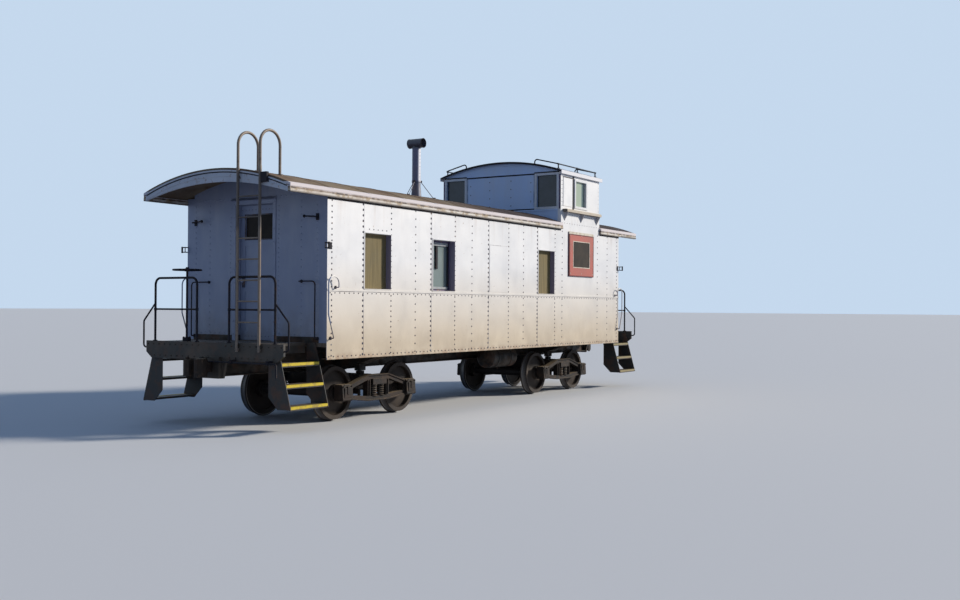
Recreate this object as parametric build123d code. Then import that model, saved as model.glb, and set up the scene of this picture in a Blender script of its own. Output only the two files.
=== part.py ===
from build123d import *
import os
from math import sqrt, cos, sin, radians

# A cupola caboose: steel body on two four-wheel trucks, open platforms at both ends.
# Millimetres. +X runs along the car towards the cupola end (end b), +Y to the left, +Z up.
# The origin is on the floor under the middle of the car, and the wheel flanges stand on Z = 0.

os.makedirs("parts", exist_ok=True)

# Body
body_length = 10060
body_width = 2900
wall_thickness = 150
sheet_thickness = 6
sheet_bottom = 1015
floor_top = 1260
floor_thickness = 60
seat_gap = 0.3

# Main roof, an arch of sheet
roof_eave_top = 3515
roof_crown = 3805
roof_thickness = 40
roof_side_overhang = 50
roof_end_overhang = 850
fascia_bottom = 3395
fascia_seam = 3440
fascia_step = 5
end_fascia_thickness = 28
end_fascia_side_bottom = 3395
end_fascia_crown_bottom = 3600

# Cupola
cupola_setback = 1002
cupola_length = 1778
cupola_wall = 80
cupola_inset = 10
ledge_bottom = 3757
ledge_thickness = 62
ledge_overhang = 100
ledge_end_inset = 90
ledge_chamfer = 20
gusset_drop = 180
gusset_thickness = 12
gusset_inset = 60
cupola_crown = 4846
cupola_roof_rise = 246
cupola_lip_depth = 71
cupola_roof_thickness = 32
cupola_roof_side_overhang = 40
cupola_roof_end_overhang = 60
cupola_lip_thickness = 22
cupola_belt_height = 30
cupola_belt_proud = 14
cupola_belt_start = 430

# Windows in the sides
window_width = 660
window_height = 860
window_bottom = 2065
window_frame_width = 34
window_frame_depth = 35
glass_thickness = 6
board_thickness = 19

# Cupola windows
cupola_side_glass_width = 480
cupola_side_glass_sill = 96
cupola_side_glass_head = 94
cupola_side_glass_offset = 3
cupola_end_glass_width = 467
cupola_end_glass_sill = 46
cupola_end_glass_head = 14
cupola_end_glass_edge = 100
cupola_trim_width = 48
cupola_trim_proud = 16
blank_panel_width = 399
blank_panel_gap = 106
blank_panel_proud = 10
blank_panel_lap = 30

# Placard on the right side
placard_length = 1120
placard_bottom = 2455
placard_top = 3357
placard_border = 185
placard_thickness = 22
placard_step = 8

# End doors
door_width = 760
door_height = 2080
door_thickness = 45
door_gap = 5
door_foot_gap = 8
door_glass_width = 560
door_glass_height = 365
door_glass_head = 153
hinge_offset = 14
hinge_pin_radius = 9
hinge_leaf_length = 70
hinge_leaf_width = 60
hinge_strap = 4
hinge_strap_length = 70
first_hinge_height = 232
second_hinge_height = 982
third_hinge_height = 1832
door_stile = 90
door_panel_depth = 8
lower_panel_start = 132
lower_panel_end = 752
upper_panel_start = 842
upper_panel_end = 1452
door_knob_height = 912
door_knob_reach = 40
door_knob_inset = 60
door_knob_radius = 28
door_spindle_radius = 12
casing_width = 60
casing_proud = 12
hood_height = 45
hood_depth = 70

# Frame under the floor
centre_sill_half_width = 170
centre_sill_bottom = 770
centre_sill_web = 14
centre_sill_flange = 60
side_sill_height = 180
side_sill_depth = 90
side_sill_web = 12
bolster_half_length = 150
bolster_end_depth = 130
bolster_root_length = 180
first_bearer_place = 640
second_bearer_place = 1900
third_bearer_place = 4300
cross_bearer_half_length = 45
cross_bearer_depth = 150
truck_spacing = 6450
side_bearing_pad = 90
side_bearing_clearance = 6
body_plate_thickness = 25

# Windows along each side: distance of the middle from the middle of the car, and glazed or boarded
window_places = (
    (-3822, False),
    (-1992, True),
    (1638, False),
)

# Outlines of the coupler's guard arm and of its knuckle, from the pulling face and the centre line,
# forwards and to the left, as parts of the head's length
guard_arm_outline = (
    (-0.49, -0.22),
    (-0.52, 0.08),
    (-0.27, 0.24),
    (0.08, 0.35),
    (0.21, 0.51),
    (0.15, 0.66),
    (-0.23, 0.70),
    (-0.63, 0.50),
    (-0.79, 0.37),
)
knuckle_outline = (
    (-0.08, -0.61),
    (0.07, -0.51),
    (0.10, -0.32),
    (0.02, -0.12),
    (-0.13, -0.08),
    (-0.18, -0.23),
)

# End platforms and steps
platform_length = 860
deck_half_width = 1085
deck_thickness = 40
deck_beam_inset = 80
deck_beam_half_width = 30
deck_beam_drop = 90
end_sill_thickness = 40
end_sill_bottom = 1000
end_sill_half_width = 1400
end_sill_taper_length = 120
end_sill_taper_height = 90
buffer_half_width = 230
buffer_bottom = 740
buffer_thickness = 60
buffer_flare = 60
buffer_inset = 20
buffer_head = 70
step_rise = 300
first_tread_top = 385
tread_count = 3
tread_thickness = 30
tread_depth = 250
step_slope = 0.28
first_tread_overhang = 45
tread_nosing_thickness = 12
tread_nosing_drop = 22
step_plate_thickness = 10
step_clearance = 10
step_plate_drop = 45

# Trucks
wheelbase = 1676
wheel_radius = 419
flange_height = 25
wheel_back = 676
wheel_width = 140
hub_radius = 130
hub_face = 845
hub_back = 662
hub_boss = 60
hub_fillet = 8
rim_depth = 68
rim_chamfer = 6
plate_thickness = 26
plate_outer_place = 62
plate_inner_place = 36
flange_throat_place = 42
flange_throat_height = 10
flange_root_place = 30
flange_tip_place = 20
flange_chamfer = 10
axle_radius = 76
journal_radius = 63
journal_length = 170
journal_end = 1040
journal_box_half_length = 122
journal_box_inner = 895
journal_box_outer = 1072
journal_box_bottom = 325
journal_box_top = 582
journal_box_chamfer = 22
journal_lid_lean = 14
journal_lid_slope = 34
journal_lid_pin_radius = 16
journal_lid_pin_length = 120
side_frame_inner = 915
side_frame_thickness = 100
side_frame_top = 705
side_frame_bottom = 285
side_frame_chord = 70
side_frame_crown_half = 270
side_frame_foot_half = 280
side_frame_lap = 10
side_frame_window_gap = 20
side_frame_window_height = 97
bolster_window_half = 205
truck_bolster_half_width = 178
truck_bolster_end = 1050
truck_bolster_end_bottom = 545
truck_bolster_end_height = 90
truck_bolster_middle_bottom = 440
truck_bolster_middle_half = 560
truck_bolster_knee = 860
truck_bolster_shoulder = 820
truck_bolster_top_half = 720
truck_bolster_top = 690
centre_plate_radius = 165
bowl_rim = 22
bowl_depth = 24
bowl_clearance = 5
side_bearing_offset = 635
side_bearing_height = 55
side_bearing_half_length = 60
side_bearing_half_width = 40
spring_radius = 74
spring_wire = 26
spring_turns = 5
spring_pitch_x = 92
brake_beam_width = 40
brake_beam_height = 90
brake_beam_lap = 4
brake_guide_length = 30
brake_shoe_half_height = 130
brake_shoe_width = 80
brake_shoe_clearance = 8
brake_shoe_inner = 716
brake_shoe_thickness = 38

# Couplers and end fittings
coupler_height = 901
coupler_reach = 400
coupler_shank = 130
coupler_head_height = 270
coupler_head_length = 260
coupler_shank_lap = 5
knuckle_seat = 72
knuckle_height = 234
coupler_opening = 160
coupler_tail = 320
cut_lever_diameter = 26
cut_lever_height = 985
cut_lever_gap = 9
cut_lever_start = 40
cut_lever_end_gap = 60
cut_lever_handle_reach = 50
cut_lever_handle_drop = 190
lever_bracket_inner_place = 480
lever_bracket_outer_place = 1180
lever_bracket_half_width = 20
lever_bracket_height = 40
lever_bracket_foot = 4

# Ladders, rails and irons
ladder_inner_stile = 530
ladder_outer_stile = 960
stile_diameter = 42
rung_diameter = 24
rung_count = 7
rung_spacing = 300
first_rung = 1560
ladder_clearance = 26
ladder_top = 3740
ladder_foot_height = 140
ladder_bracket_half_width = 18
ladder_bracket_height = 40
ladder_bracket_gap = 10
ladder_bracket_drop = 70
handrail_start = 570
handrail_corner = 300
handrail_foot = 100
handrail_overhang = 30
loop_height = 4308
loop_span = 405
rail_height = 950
rail_diameter = 34
rail_post = 1225
rail_gate = 330
rail_middle_height = 480
rail_middle_diameter = 27
brake_staff_diameter = 32
brake_staff_inset = 110
brake_staff_top = 20
brake_wheel_radius = 205
brake_wheel_rim = 26
brake_wheel_height = 2330
brake_rim_chamfer = 7
brake_base_radius = 62
brake_base_height = 60
brake_hub_radius = 38
brake_hub_height = 46
brake_spoke_diameter = 18
brake_spoke_count = 5
brake_staff_y = 640
handrail_diameter = 26
handrail_height = 95
handrail_inset = 90
handrail_return = 520
handrail_end_inset = 40
handrail_post_inset = 60
handrail_post_root = 60
grab_diameter = 20
grab_standoff = 70
grab_foot_bend = 20
side_grab_bend = 110
side_grab_reach = 190
side_grab_overhang = 45
side_grab_upper_foot = 2075
side_grab_top = 2235
side_grab_knee = 1680
side_grab_lower_foot = 1330
side_grab_foot_reach = 80
end_grab_bend = 60
end_grab_outer_place = 1280
end_grab_inner_place = 960
end_grab_foot = 1320
end_grab_top = 2165

# Smokejack
smokejack_x = -1487
smokejack_y = -500
smokejack_diameter = 152
smokejack_wall = 5
smokejack_head_level = 4714
smokejack_head_diameter = 166
smokejack_head_length = 300
smokejack_collar_radius = 92
smokejack_collar_height = 150
smokejack_collar_lap = 4
smokejack_head_lap = 10
smokejack_clamp_proud = 6
smokejack_clamp_height = 36
stay_diameter = 12
stay_height = 4034
stay_reach = 327
stay_foot_radius = 28
stay_foot_height = 30
stay_turns = (72, 192, 312)
roof_root = 20
roof_cut_depth = 600
cut_margin = 1

# Marker lamp brackets
marker_height = 2685
marker_socket_radius = 14
marker_socket_bore = 9
marker_socket_length = 100
marker_reach = 50
marker_standoff = 72
marker_root = 100
marker_pad_length = 60
marker_pad_thickness = 6
marker_arm_thickness = 10
marker_arm_offset = 38
marker_arm_half_height = 8

# Brake gear under the floor
brake_cylinder_x = -900
brake_cylinder_y = 560
brake_cylinder_radius = 140
brake_cylinder_length = 380
brake_cylinder_drop = 180
brake_flange_thickness = 28
brake_flange_proud = 20
brake_hanger_half_width = 90
push_rod_reach = 480
push_rod_diameter = 40
reservoir_x = 1150
reservoir_y = -620
reservoir_radius = 200
reservoir_length = 860
reservoir_drop = 190
reservoir_band_proud = 8
reservoir_hanger_half_width = 70
hanger_width = 50
hanger_thickness = 12

# Worked out from the sizes above
half_length = body_length / 2
half_width = body_width / 2
cupola_end = half_length - cupola_setback
cupola_start = cupola_end - cupola_length
cupola_middle = (cupola_start + cupola_end) / 2
placard_start = cupola_middle - placard_length / 2
placard_end = cupola_middle + placard_length / 2
inner_half_width = half_width - wall_thickness
inner_half_length = half_length - wall_thickness
floor_bottom = floor_top - floor_thickness
roof_half_width = half_width + roof_side_overhang
roof_half_length = half_length + roof_end_overhang
roof_underside_crown = roof_crown - roof_thickness
end_of_platform = half_length + platform_length
axle_height = wheel_radius + flange_height
truck_x = truck_spacing / 2
spring_seat = side_frame_bottom + side_frame_chord
cupola_half_width = half_width - cupola_inset
cupola_roof_half_width = half_width + cupola_roof_side_overhang
ledge_top = ledge_bottom + ledge_thickness
cupola_eave_top = cupola_crown - cupola_roof_rise
cupola_eave_bottom = cupola_eave_top - cupola_lip_depth
cupola_side_glass_bottom = ledge_top + cupola_side_glass_sill
cupola_side_glass_top = cupola_eave_bottom - cupola_side_glass_head
cupola_side_glass_middle = cupola_middle + cupola_side_glass_offset
cupola_end_glass_bottom = ledge_top + cupola_end_glass_sill
cupola_end_glass_top = cupola_eave_bottom - cupola_end_glass_head
blank_panel_end = (cupola_side_glass_middle - cupola_side_glass_width / 2 - cupola_trim_width
                   - blank_panel_gap)
blank_panel_start = blank_panel_end - blank_panel_width
first_tread_reach = half_width + first_tread_overhang
side_sill_inner = half_width - sheet_thickness - side_sill_depth
centre_plate_level = truck_bolster_top + seat_gap
side_bearing_level = truck_bolster_top + side_bearing_height + side_bearing_clearance
door_foot = floor_top + door_foot_gap
door_top = door_foot + door_height
door_glass_top = door_top - door_glass_head
door_glass_bottom = door_glass_top - door_glass_height
hinge_heights = [door_foot + height for height in
                 (first_hinge_height, second_hinge_height, third_hinge_height)]
hinge_x = inner_half_length - hinge_offset
hinge_y = door_width / 2 + door_gap / 2
cupola_inner = half_width - cupola_wall
ladder_x = end_of_platform + ladder_clearance


def arch_radius(half_chord, rise):
    return (half_chord ** 2 + rise ** 2) / (2 * rise)


def arch_level(y, crown, radius):
    return crown - radius + sqrt(radius ** 2 - y ** 2)


roof_radius = arch_radius(roof_half_width, roof_crown - roof_eave_top)
cupola_radius = arch_radius(cupola_roof_half_width, cupola_crown - cupola_eave_top)
cupola_under_crown = cupola_crown - cupola_roof_thickness
wall_top = arch_level(half_width, roof_underside_crown, roof_radius) - seat_gap
cupola_wall_top = arch_level(cupola_half_width, cupola_under_crown, cupola_radius) - seat_gap


def roof_level(y):
    return arch_level(y, roof_crown, roof_radius)


def cupola_roof_level(y):
    return arch_level(y, cupola_crown, cupola_radius)


def block(x_low, x_high, y_low, y_high, z_low, z_high):
    middle = Pos((x_low + x_high) / 2, (y_low + y_high) / 2, (z_low + z_high) / 2)
    return middle * Box(x_high - x_low, y_high - y_low, z_high - z_low)


def outline_face(points):
    return make_face(Polyline(*points, close=True))


def prism_x(points, x_low, x_high):
    return extrude(Plane.YZ.offset(x_low) * outline_face(points), amount=x_high - x_low)


def prism_y(points, y_low, y_high):
    return extrude(Plane.XZ.offset(-y_high) * outline_face(points), amount=y_high - y_low)


def prism_z(points, z_low, z_high):
    return extrude(Plane.XY.offset(z_low) * outline_face(points), amount=z_high - z_low)


def rod(start, end, diameter):
    axis = Vector(*end) - Vector(*start)
    base = Plane(origin=start, z_dir=axis)
    return extrude(base * Circle(diameter / 2), amount=axis.length)


def tube(points, diameter, bend):
    path = FilletPolyline(*points, radius=bend)
    section = Plane(origin=path @ 0, z_dir=path % 0) * Circle(diameter / 2)
    return sweep(section, path=path)


def both_ends(shape):
    # the car is the same at both ends, turned half round about its middle
    return [shape, Rot(0, 0, 180) * shape]


def both_sides(shape):
    return [shape, mirror(shape, about=Plane.XZ)]


def four_corners(shape):
    return [piece for side in both_sides(shape) for piece in both_ends(side)]


def save(name, shapes):
    solids = []
    for shape in shapes if isinstance(shapes, list) else [shapes]:
        solids.extend(shape.solids())
    export_step(solids[0] if len(solids) == 1 else Compound(solids), f"parts/{name}.step")


# Frame under the floor
def centre_sill():
    outer = centre_sill_half_width
    inner = outer - centre_sill_web
    foot = outer + centre_sill_flange
    top = floor_bottom - centre_sill_web
    heel = centre_sill_bottom + centre_sill_web
    half = [
        (foot, floor_bottom), (foot, top), (outer, top), (outer, heel), (foot, heel),
        (foot, centre_sill_bottom), (inner, centre_sill_bottom), (inner, top),
    ]
    other = [(-y, z) for y, z in reversed(half)]
    reach = end_of_platform - end_sill_thickness
    return prism_x(half + other, -reach, reach)


def body_bolster(x):
    # a tapered arm on each side, a centre plate in the middle and a pad over each side bearing
    start = centre_sill_half_width + centre_sill_flange
    root = start + bolster_root_length
    arm = prism_x(
        [(start, floor_bottom), (side_sill_inner, floor_bottom),
         (side_sill_inner, floor_bottom - bolster_end_depth),
         (root, centre_sill_bottom), (start, centre_sill_bottom)],
        x - bolster_half_length, x + bolster_half_length)
    slope = (floor_bottom - bolster_end_depth - centre_sill_bottom) / (side_sill_inner - root)
    pad_top = centre_sill_bottom + slope * (side_bearing_offset - root) + side_bearing_pad
    arm += block(x - side_bearing_pad, x + side_bearing_pad, side_bearing_offset - side_bearing_pad / 2,
                 side_bearing_offset + side_bearing_pad / 2, side_bearing_level, pad_top)
    plate = Pos(x, 0, centre_plate_level) * Cylinder(
        centre_plate_radius, centre_sill_bottom - centre_plate_level,
        align=(Align.CENTER, Align.CENTER, Align.MIN))
    plate += block(x - bolster_half_length, x + bolster_half_length, -start, start,
                   centre_sill_bottom - body_plate_thickness, centre_sill_bottom)
    return both_sides(arm) + [plate]


def side_sills():
    outer = half_width - sheet_thickness
    inner = outer - side_sill_depth
    low = floor_bottom - side_sill_height
    channel = [
        (outer, floor_bottom), (inner, floor_bottom), (inner, floor_bottom - side_sill_web),
        (outer - side_sill_web, floor_bottom - side_sill_web),
        (outer - side_sill_web, low + side_sill_web), (inner, low + side_sill_web),
        (inner, low), (outer, low),
    ]
    return both_sides(prism_x(channel, -half_length, half_length))


def cross_bearers():
    pieces = []
    start = centre_sill_half_width + centre_sill_flange
    for x in (first_bearer_place, second_bearer_place, third_bearer_place):
        arm = prism_x(
            [(start, floor_bottom), (side_sill_inner, floor_bottom),
             (side_sill_inner, floor_bottom - cross_bearer_depth / 2),
             (start, floor_bottom - cross_bearer_depth)],
            x - cross_bearer_half_length, x + cross_bearer_half_length)
        pieces += four_corners(arm)
    return pieces


def floor():
    outer = half_width - sheet_thickness
    return block(-half_length, half_length, -outer, outer, floor_bottom, floor_top)


def platform():
    # a chequered deck on the sills, and the end sill across the whole width with its buffer block
    sill_face = end_of_platform - end_sill_thickness
    deck = block(half_length, sill_face, -deck_half_width, deck_half_width,
                 floor_top - deck_thickness, floor_top)
    beam_y = deck_half_width - deck_beam_inset
    for y in (-beam_y, beam_y):
        deck += block(half_length, sill_face, y - deck_beam_half_width, y + deck_beam_half_width,
                      floor_bottom - deck_beam_drop, floor_top - deck_thickness)
    deck += block(half_length, sill_face, -centre_sill_half_width, centre_sill_half_width,
                  floor_bottom, floor_top - deck_thickness)
    half = [
        (end_sill_half_width, floor_top), (end_sill_half_width, end_sill_bottom + end_sill_taper_height),
        (end_sill_half_width - end_sill_taper_length, end_sill_bottom),
        (buffer_half_width + buffer_flare, end_sill_bottom), (buffer_half_width, buffer_bottom),
    ]
    sill = prism_x(half + [(-y, z) for y, z in reversed(half)], sill_face, end_of_platform)
    sill += block(end_of_platform, end_of_platform + buffer_thickness, -buffer_half_width + buffer_inset,
                  buffer_half_width - buffer_inset, buffer_bottom,
                  coupler_height + coupler_opening / 2 + buffer_head)
    opening = coupler_opening / 2
    sill -= block(sill_face, end_of_platform + buffer_thickness, -opening, opening,
                  coupler_height - coupler_shank / 2 - seat_gap, coupler_height + opening)
    return deck + sill


def step_unit():
    # two slanting side plates carry the treads, and hang from the end sill and the body end
    start = half_length + step_clearance
    end = end_of_platform - end_sill_thickness
    low = first_tread_top - step_plate_drop
    reach_low = first_tread_reach + step_plate_drop * step_slope
    reach_top = first_tread_reach - (floor_top - first_tread_top) * step_slope
    plate = [
        (reach_low, low), (reach_low - tread_depth, low),
        (deck_half_width, floor_top - tread_count * step_rise + step_rise / 2),
        (deck_half_width, floor_top), (reach_top, floor_top),
    ]
    unit = prism_x(plate, start, start + step_plate_thickness)
    unit += prism_x(plate, end - step_plate_thickness, end)
    for tread in range(tread_count):
        top = first_tread_top + tread * step_rise
        edge = first_tread_reach - tread * step_rise * step_slope
        board = block(start, end, edge - tread_depth, edge, top - tread_thickness, top)
        board += block(start, end, edge - tread_nosing_thickness, edge,
                       top - tread_thickness - tread_nosing_drop, top)
        unit += board
    return unit


# Body shell
def window_opening(x):
    return block(x - window_width / 2, x + window_width / 2, inner_half_width, half_width,
                 window_bottom, window_bottom + window_height)


def side_wall():
    # the outer sheet hangs past the floor and hides the side sill
    inside = inner_half_width
    wall = prism_x(
        [(inside, floor_top), (inside, wall_top), (half_width, wall_top), (half_width, sheet_bottom),
         (half_width - sheet_thickness, sheet_bottom), (half_width - sheet_thickness, floor_top)],
        -half_length, half_length)
    for x, glazed in window_places:
        wall -= window_opening(x)
    return wall


def end_wall():
    # fits between the side walls, under the arch of the roof
    width = inner_half_width
    side = arch_level(width, roof_underside_crown, roof_radius) - seat_gap
    middle = roof_underside_crown - seat_gap
    curve = ThreePointArc((-width, side), (0, middle), (width, side))
    edges = curve + Line((width, side), (width, floor_top))
    edges += Line((width, floor_top), (-width, floor_top)) + Line((-width, floor_top), (-width, side))
    wall = extrude(Plane.YZ.offset(inner_half_length) * make_face(edges), amount=wall_thickness)
    half = door_width / 2 + door_gap
    wall -= block(inner_half_length, half_length, -half, half, floor_top, door_top + door_gap)
    return wall


def door_casing():
    # a steel frame round the doorway, with a rain hood and the fixed halves of the hinges
    half = door_width / 2 + door_gap
    top = door_top + door_gap
    frame = block(half_length, half_length + casing_proud, -half - casing_width, half + casing_width,
                  floor_top, top + casing_width)
    frame -= block(half_length, half_length + casing_proud, -half, half, floor_top, top)
    hood = prism_y(
        [(half_length, top + casing_width), (half_length + hood_depth, top + casing_width),
         (half_length, top + casing_width + hood_height)],
        -half - casing_width, half + casing_width)
    return frame + hood


def hinge_leaves():
    # the wall's knuckles, above and below each knuckle of the door
    pieces = []
    edge = door_width / 2 + door_gap
    inside = inner_half_length
    for z in hinge_heights:
        for step in (-1, 1):
            middle = z + step * (hinge_leaf_length + seat_gap)
            low = middle - hinge_leaf_length / 2
            high = middle + hinge_leaf_length / 2
            barrel = Pos(hinge_x, hinge_y, middle) * Cylinder(hinge_pin_radius, hinge_leaf_length)
            leaf = block(inside - hinge_strap, inside, edge, edge + hinge_leaf_width, low, high)
            leaf += block(hinge_x, inside, edge, edge + hinge_strap, low, high)
            pieces.append(leaf + barrel)
    return pieces


def main_roof():
    # an arched shell in two lengths, one on each side of the cupola
    low = roof_eave_top - roof_thickness
    top = ThreePointArc((-roof_half_width, roof_eave_top), (0, roof_crown),
                        (roof_half_width, roof_eave_top))
    under = ThreePointArc((roof_half_width, low), (0, roof_underside_crown), (-roof_half_width, low))
    edges = top + Line((roof_half_width, roof_eave_top), (roof_half_width, low)) + under
    edges += Line((-roof_half_width, low), (-roof_half_width, roof_eave_top))
    section = make_face(edges)
    pieces = []
    for start, end in ((-roof_half_length, cupola_start), (cupola_end, roof_half_length)):
        pieces.append(extrude(Plane.YZ.offset(start) * section, amount=end - start))
    return pieces


def eave_fascia():
    # two boards, one a little proud of the other, run under each edge of the roof
    inner = half_width
    top = roof_eave_top - roof_thickness - seat_gap
    band = [
        (inner, fascia_bottom), (roof_half_width, fascia_bottom), (roof_half_width, fascia_seam),
        (roof_half_width - fascia_step, fascia_seam), (roof_half_width - fascia_step, top), (inner, top),
    ]
    pieces = []
    for start, end in ((-roof_half_length, cupola_start), (cupola_end, roof_half_length)):
        pieces += both_sides(prism_x(band, start, end))
    return pieces


def end_fascia():
    # an arched board closes each end of the roof
    width = half_width
    top_side = arch_level(width, roof_underside_crown, roof_radius) - seat_gap
    top = ThreePointArc((-width, top_side), (0, roof_underside_crown - seat_gap), (width, top_side))
    low = ThreePointArc((width, end_fascia_side_bottom), (0, end_fascia_crown_bottom),
                        (-width, end_fascia_side_bottom))
    edges = top + Line((width, top_side), (width, end_fascia_side_bottom)) + low
    edges += Line((-width, end_fascia_side_bottom), (-width, top_side))
    start = roof_half_length - end_fascia_thickness
    return extrude(Plane.YZ.offset(start) * make_face(edges), amount=end_fascia_thickness)


# Cupola
def cupola_side():
    # flush with the body up to the ledge, then set in, with one window and one blank panel
    inner = cupola_inner
    upper = cupola_half_width
    top = cupola_wall_top
    wall = prism_x(
        [(-half_width, wall_top), (-inner, wall_top), (-inner, top), (-upper, top),
         (-upper, ledge_bottom), (-half_width, ledge_bottom)],
        cupola_start, cupola_end)
    half = cupola_side_glass_width / 2
    wall -= block(cupola_side_glass_middle - half, cupola_side_glass_middle + half, -half_width, -inner,
                  cupola_side_glass_bottom, cupola_side_glass_top)
    wall += block(blank_panel_start, blank_panel_end, -upper - blank_panel_proud, -upper,
                  cupola_side_glass_bottom - blank_panel_lap, cupola_side_glass_top + blank_panel_lap)
    return wall


def cupola_end_wall(face, inward):
    # stands on the side walls and closes the cut end of the main roof, with a window at each side
    width = cupola_inner
    side = arch_level(width, cupola_under_crown, cupola_radius) - seat_gap
    curve = ThreePointArc((-width, side), (0, cupola_under_crown - seat_gap), (width, side))
    edges = curve + Line((width, side), (width, wall_top)) + Line((width, wall_top), (-width, wall_top))
    edges += Line((-width, wall_top), (-width, side))
    start = face if inward > 0 else face - cupola_wall
    wall = extrude(Plane.YZ.offset(start) * make_face(edges), amount=cupola_wall)
    outer = half_width - cupola_end_glass_edge
    window = block(start, start + cupola_wall, outer - cupola_end_glass_width, outer,
                   cupola_end_glass_bottom, cupola_end_glass_top)
    belt_top = cupola_end_glass_bottom - cupola_trim_width
    front = face - cupola_belt_proud if inward > 0 else face
    belt = block(front, front + cupola_belt_proud, cupola_belt_start, cupola_inner,
                 belt_top - cupola_belt_height, belt_top)
    for piece in both_sides(window):
        wall -= piece
    for piece in both_sides(belt):
        wall += piece
    return wall


def cupola_roof():
    # an arched shell with a lip turned down all round
    width = cupola_roof_half_width
    low = cupola_eave_top - cupola_roof_thickness
    under_crown = cupola_crown - cupola_roof_thickness
    inner = width - cupola_lip_thickness
    under_side = arch_level(inner, under_crown, cupola_radius)
    top = ThreePointArc((-width, cupola_eave_top), (0, cupola_crown), (width, cupola_eave_top))
    under = ThreePointArc((inner, under_side), (0, under_crown), (-inner, under_side))
    edges = top + Line((width, cupola_eave_top), (width, cupola_eave_bottom))
    edges += Line((width, cupola_eave_bottom), (inner, cupola_eave_bottom))
    edges += Line((inner, cupola_eave_bottom), (inner, under_side)) + under
    edges += Line((-inner, under_side), (-inner, cupola_eave_bottom))
    edges += Line((-inner, cupola_eave_bottom), (-width, cupola_eave_bottom))
    edges += Line((-width, cupola_eave_bottom), (-width, cupola_eave_top))
    start = cupola_start - cupola_roof_end_overhang
    length = cupola_end - cupola_start + 2 * cupola_roof_end_overhang
    return extrude(Plane.YZ.offset(start) * make_face(edges), amount=length)


def cupola_ledge():
    # a footboard on three triangular brackets
    start = cupola_start + ledge_end_inset
    end = cupola_end - ledge_end_inset
    ledge = prism_x(
        [(-cupola_half_width, ledge_bottom), (-half_width - ledge_overhang, ledge_bottom),
         (-half_width - ledge_overhang, ledge_top - ledge_chamfer),
         (-half_width - ledge_overhang + ledge_chamfer, ledge_top),
         (-cupola_half_width, ledge_top)],
        start, end)
    half = gusset_thickness / 2
    for x in (start + gusset_inset, cupola_middle, end - gusset_inset):
        ledge += prism_x(
            [(-half_width, ledge_bottom), (-half_width - ledge_overhang, ledge_bottom),
             (-half_width, ledge_bottom - gusset_drop)], x - half, x + half)
    return ledge


# Glazing and frames
def window_frame(x):
    # a steel frame lines the inner part of each window opening
    inner = inner_half_width
    low = window_bottom
    high = window_bottom + window_height
    left = x - window_width / 2
    right = x + window_width / 2
    width = window_frame_width
    frame = block(left, right, inner, inner + window_frame_depth, low, high)
    return frame - block(left + width, right - width, inner, inner + window_frame_depth,
                         low + width, high - width)


def window_pane(x):
    width = window_frame_width
    middle = inner_half_width + window_frame_depth / 2
    return block(x - window_width / 2 + width, x + window_width / 2 - width,
                 middle - glass_thickness / 2, middle + glass_thickness / 2,
                 window_bottom + width, window_bottom + window_height - width)


def window_board(x):
    # plywood closes the opening in front of the frame
    inner = inner_half_width + window_frame_depth
    return block(x - window_width / 2, x + window_width / 2, inner, inner + board_thickness,
                 window_bottom, window_bottom + window_height)


def cupola_side_trim():
    half = cupola_side_glass_width / 2
    middle = cupola_side_glass_middle
    width = cupola_trim_width
    outer = cupola_half_width + cupola_trim_proud
    trim = block(middle - half - width, middle + half + width, cupola_half_width, outer,
                 cupola_side_glass_bottom - width, cupola_side_glass_top + width)
    return trim - block(middle - half, middle + half, cupola_half_width, outer,
                        cupola_side_glass_bottom, cupola_side_glass_top)


def cupola_end_trim(face, inward):
    outer = half_width - cupola_end_glass_edge
    inner = outer - cupola_end_glass_width
    width = cupola_trim_width
    front = face - cupola_trim_proud if inward > 0 else face
    back = front + cupola_trim_proud
    trim = block(front, back, inner - width, outer + width,
                 cupola_end_glass_bottom - width, cupola_end_glass_top + width)
    return trim - block(front, back, inner, outer, cupola_end_glass_bottom, cupola_end_glass_top)


def cupola_side_pane():
    half = cupola_side_glass_width / 2
    middle = (cupola_half_width + cupola_inner) / 2
    return block(cupola_side_glass_middle - half, cupola_side_glass_middle + half,
                 middle - glass_thickness / 2, middle + glass_thickness / 2,
                 cupola_side_glass_bottom, cupola_side_glass_top)


def cupola_end_pane(face, inward):
    outer = half_width - cupola_end_glass_edge
    middle = face + inward * cupola_wall / 2
    return block(middle - glass_thickness / 2, middle + glass_thickness / 2,
                 outer - cupola_end_glass_width, outer, cupola_end_glass_bottom, cupola_end_glass_top)


# Doors
def door():
    # flush with the inner face of the end wall, with its knuckles on the inside
    half = door_width / 2
    inside = inner_half_length
    leaf = block(inside, inside + door_thickness, -half, half, door_foot, door_top)
    leaf -= block(inside, inside + door_thickness, -door_glass_width / 2, door_glass_width / 2,
                  door_glass_bottom, door_glass_top)
    panel = half - door_stile
    for start, end in ((lower_panel_start, lower_panel_end), (upper_panel_start, upper_panel_end)):
        leaf -= block(inside + door_thickness - door_panel_depth, inside + door_thickness,
                      -panel, panel, door_foot + start, door_foot + end)
    for z in hinge_heights:
        low = z - hinge_leaf_length / 2
        high = z + hinge_leaf_length / 2
        leaf += block(inside - hinge_strap, inside, half - hinge_strap_length, half, low, high)
        leaf += block(hinge_x, inside, half - hinge_strap, half, low, high)
        leaf += Pos(hinge_x, hinge_y, z) * Cylinder(hinge_pin_radius, hinge_leaf_length)
    knob = Pos(inside + door_thickness, door_knob_inset - half, door_foot + door_knob_height)
    leaf += knob * Rot(0, 90, 0) * Cylinder(door_spindle_radius, 2 * door_knob_reach)
    leaf += knob * Pos(door_knob_reach, 0, 0) * Sphere(door_knob_radius)
    return leaf


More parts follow.
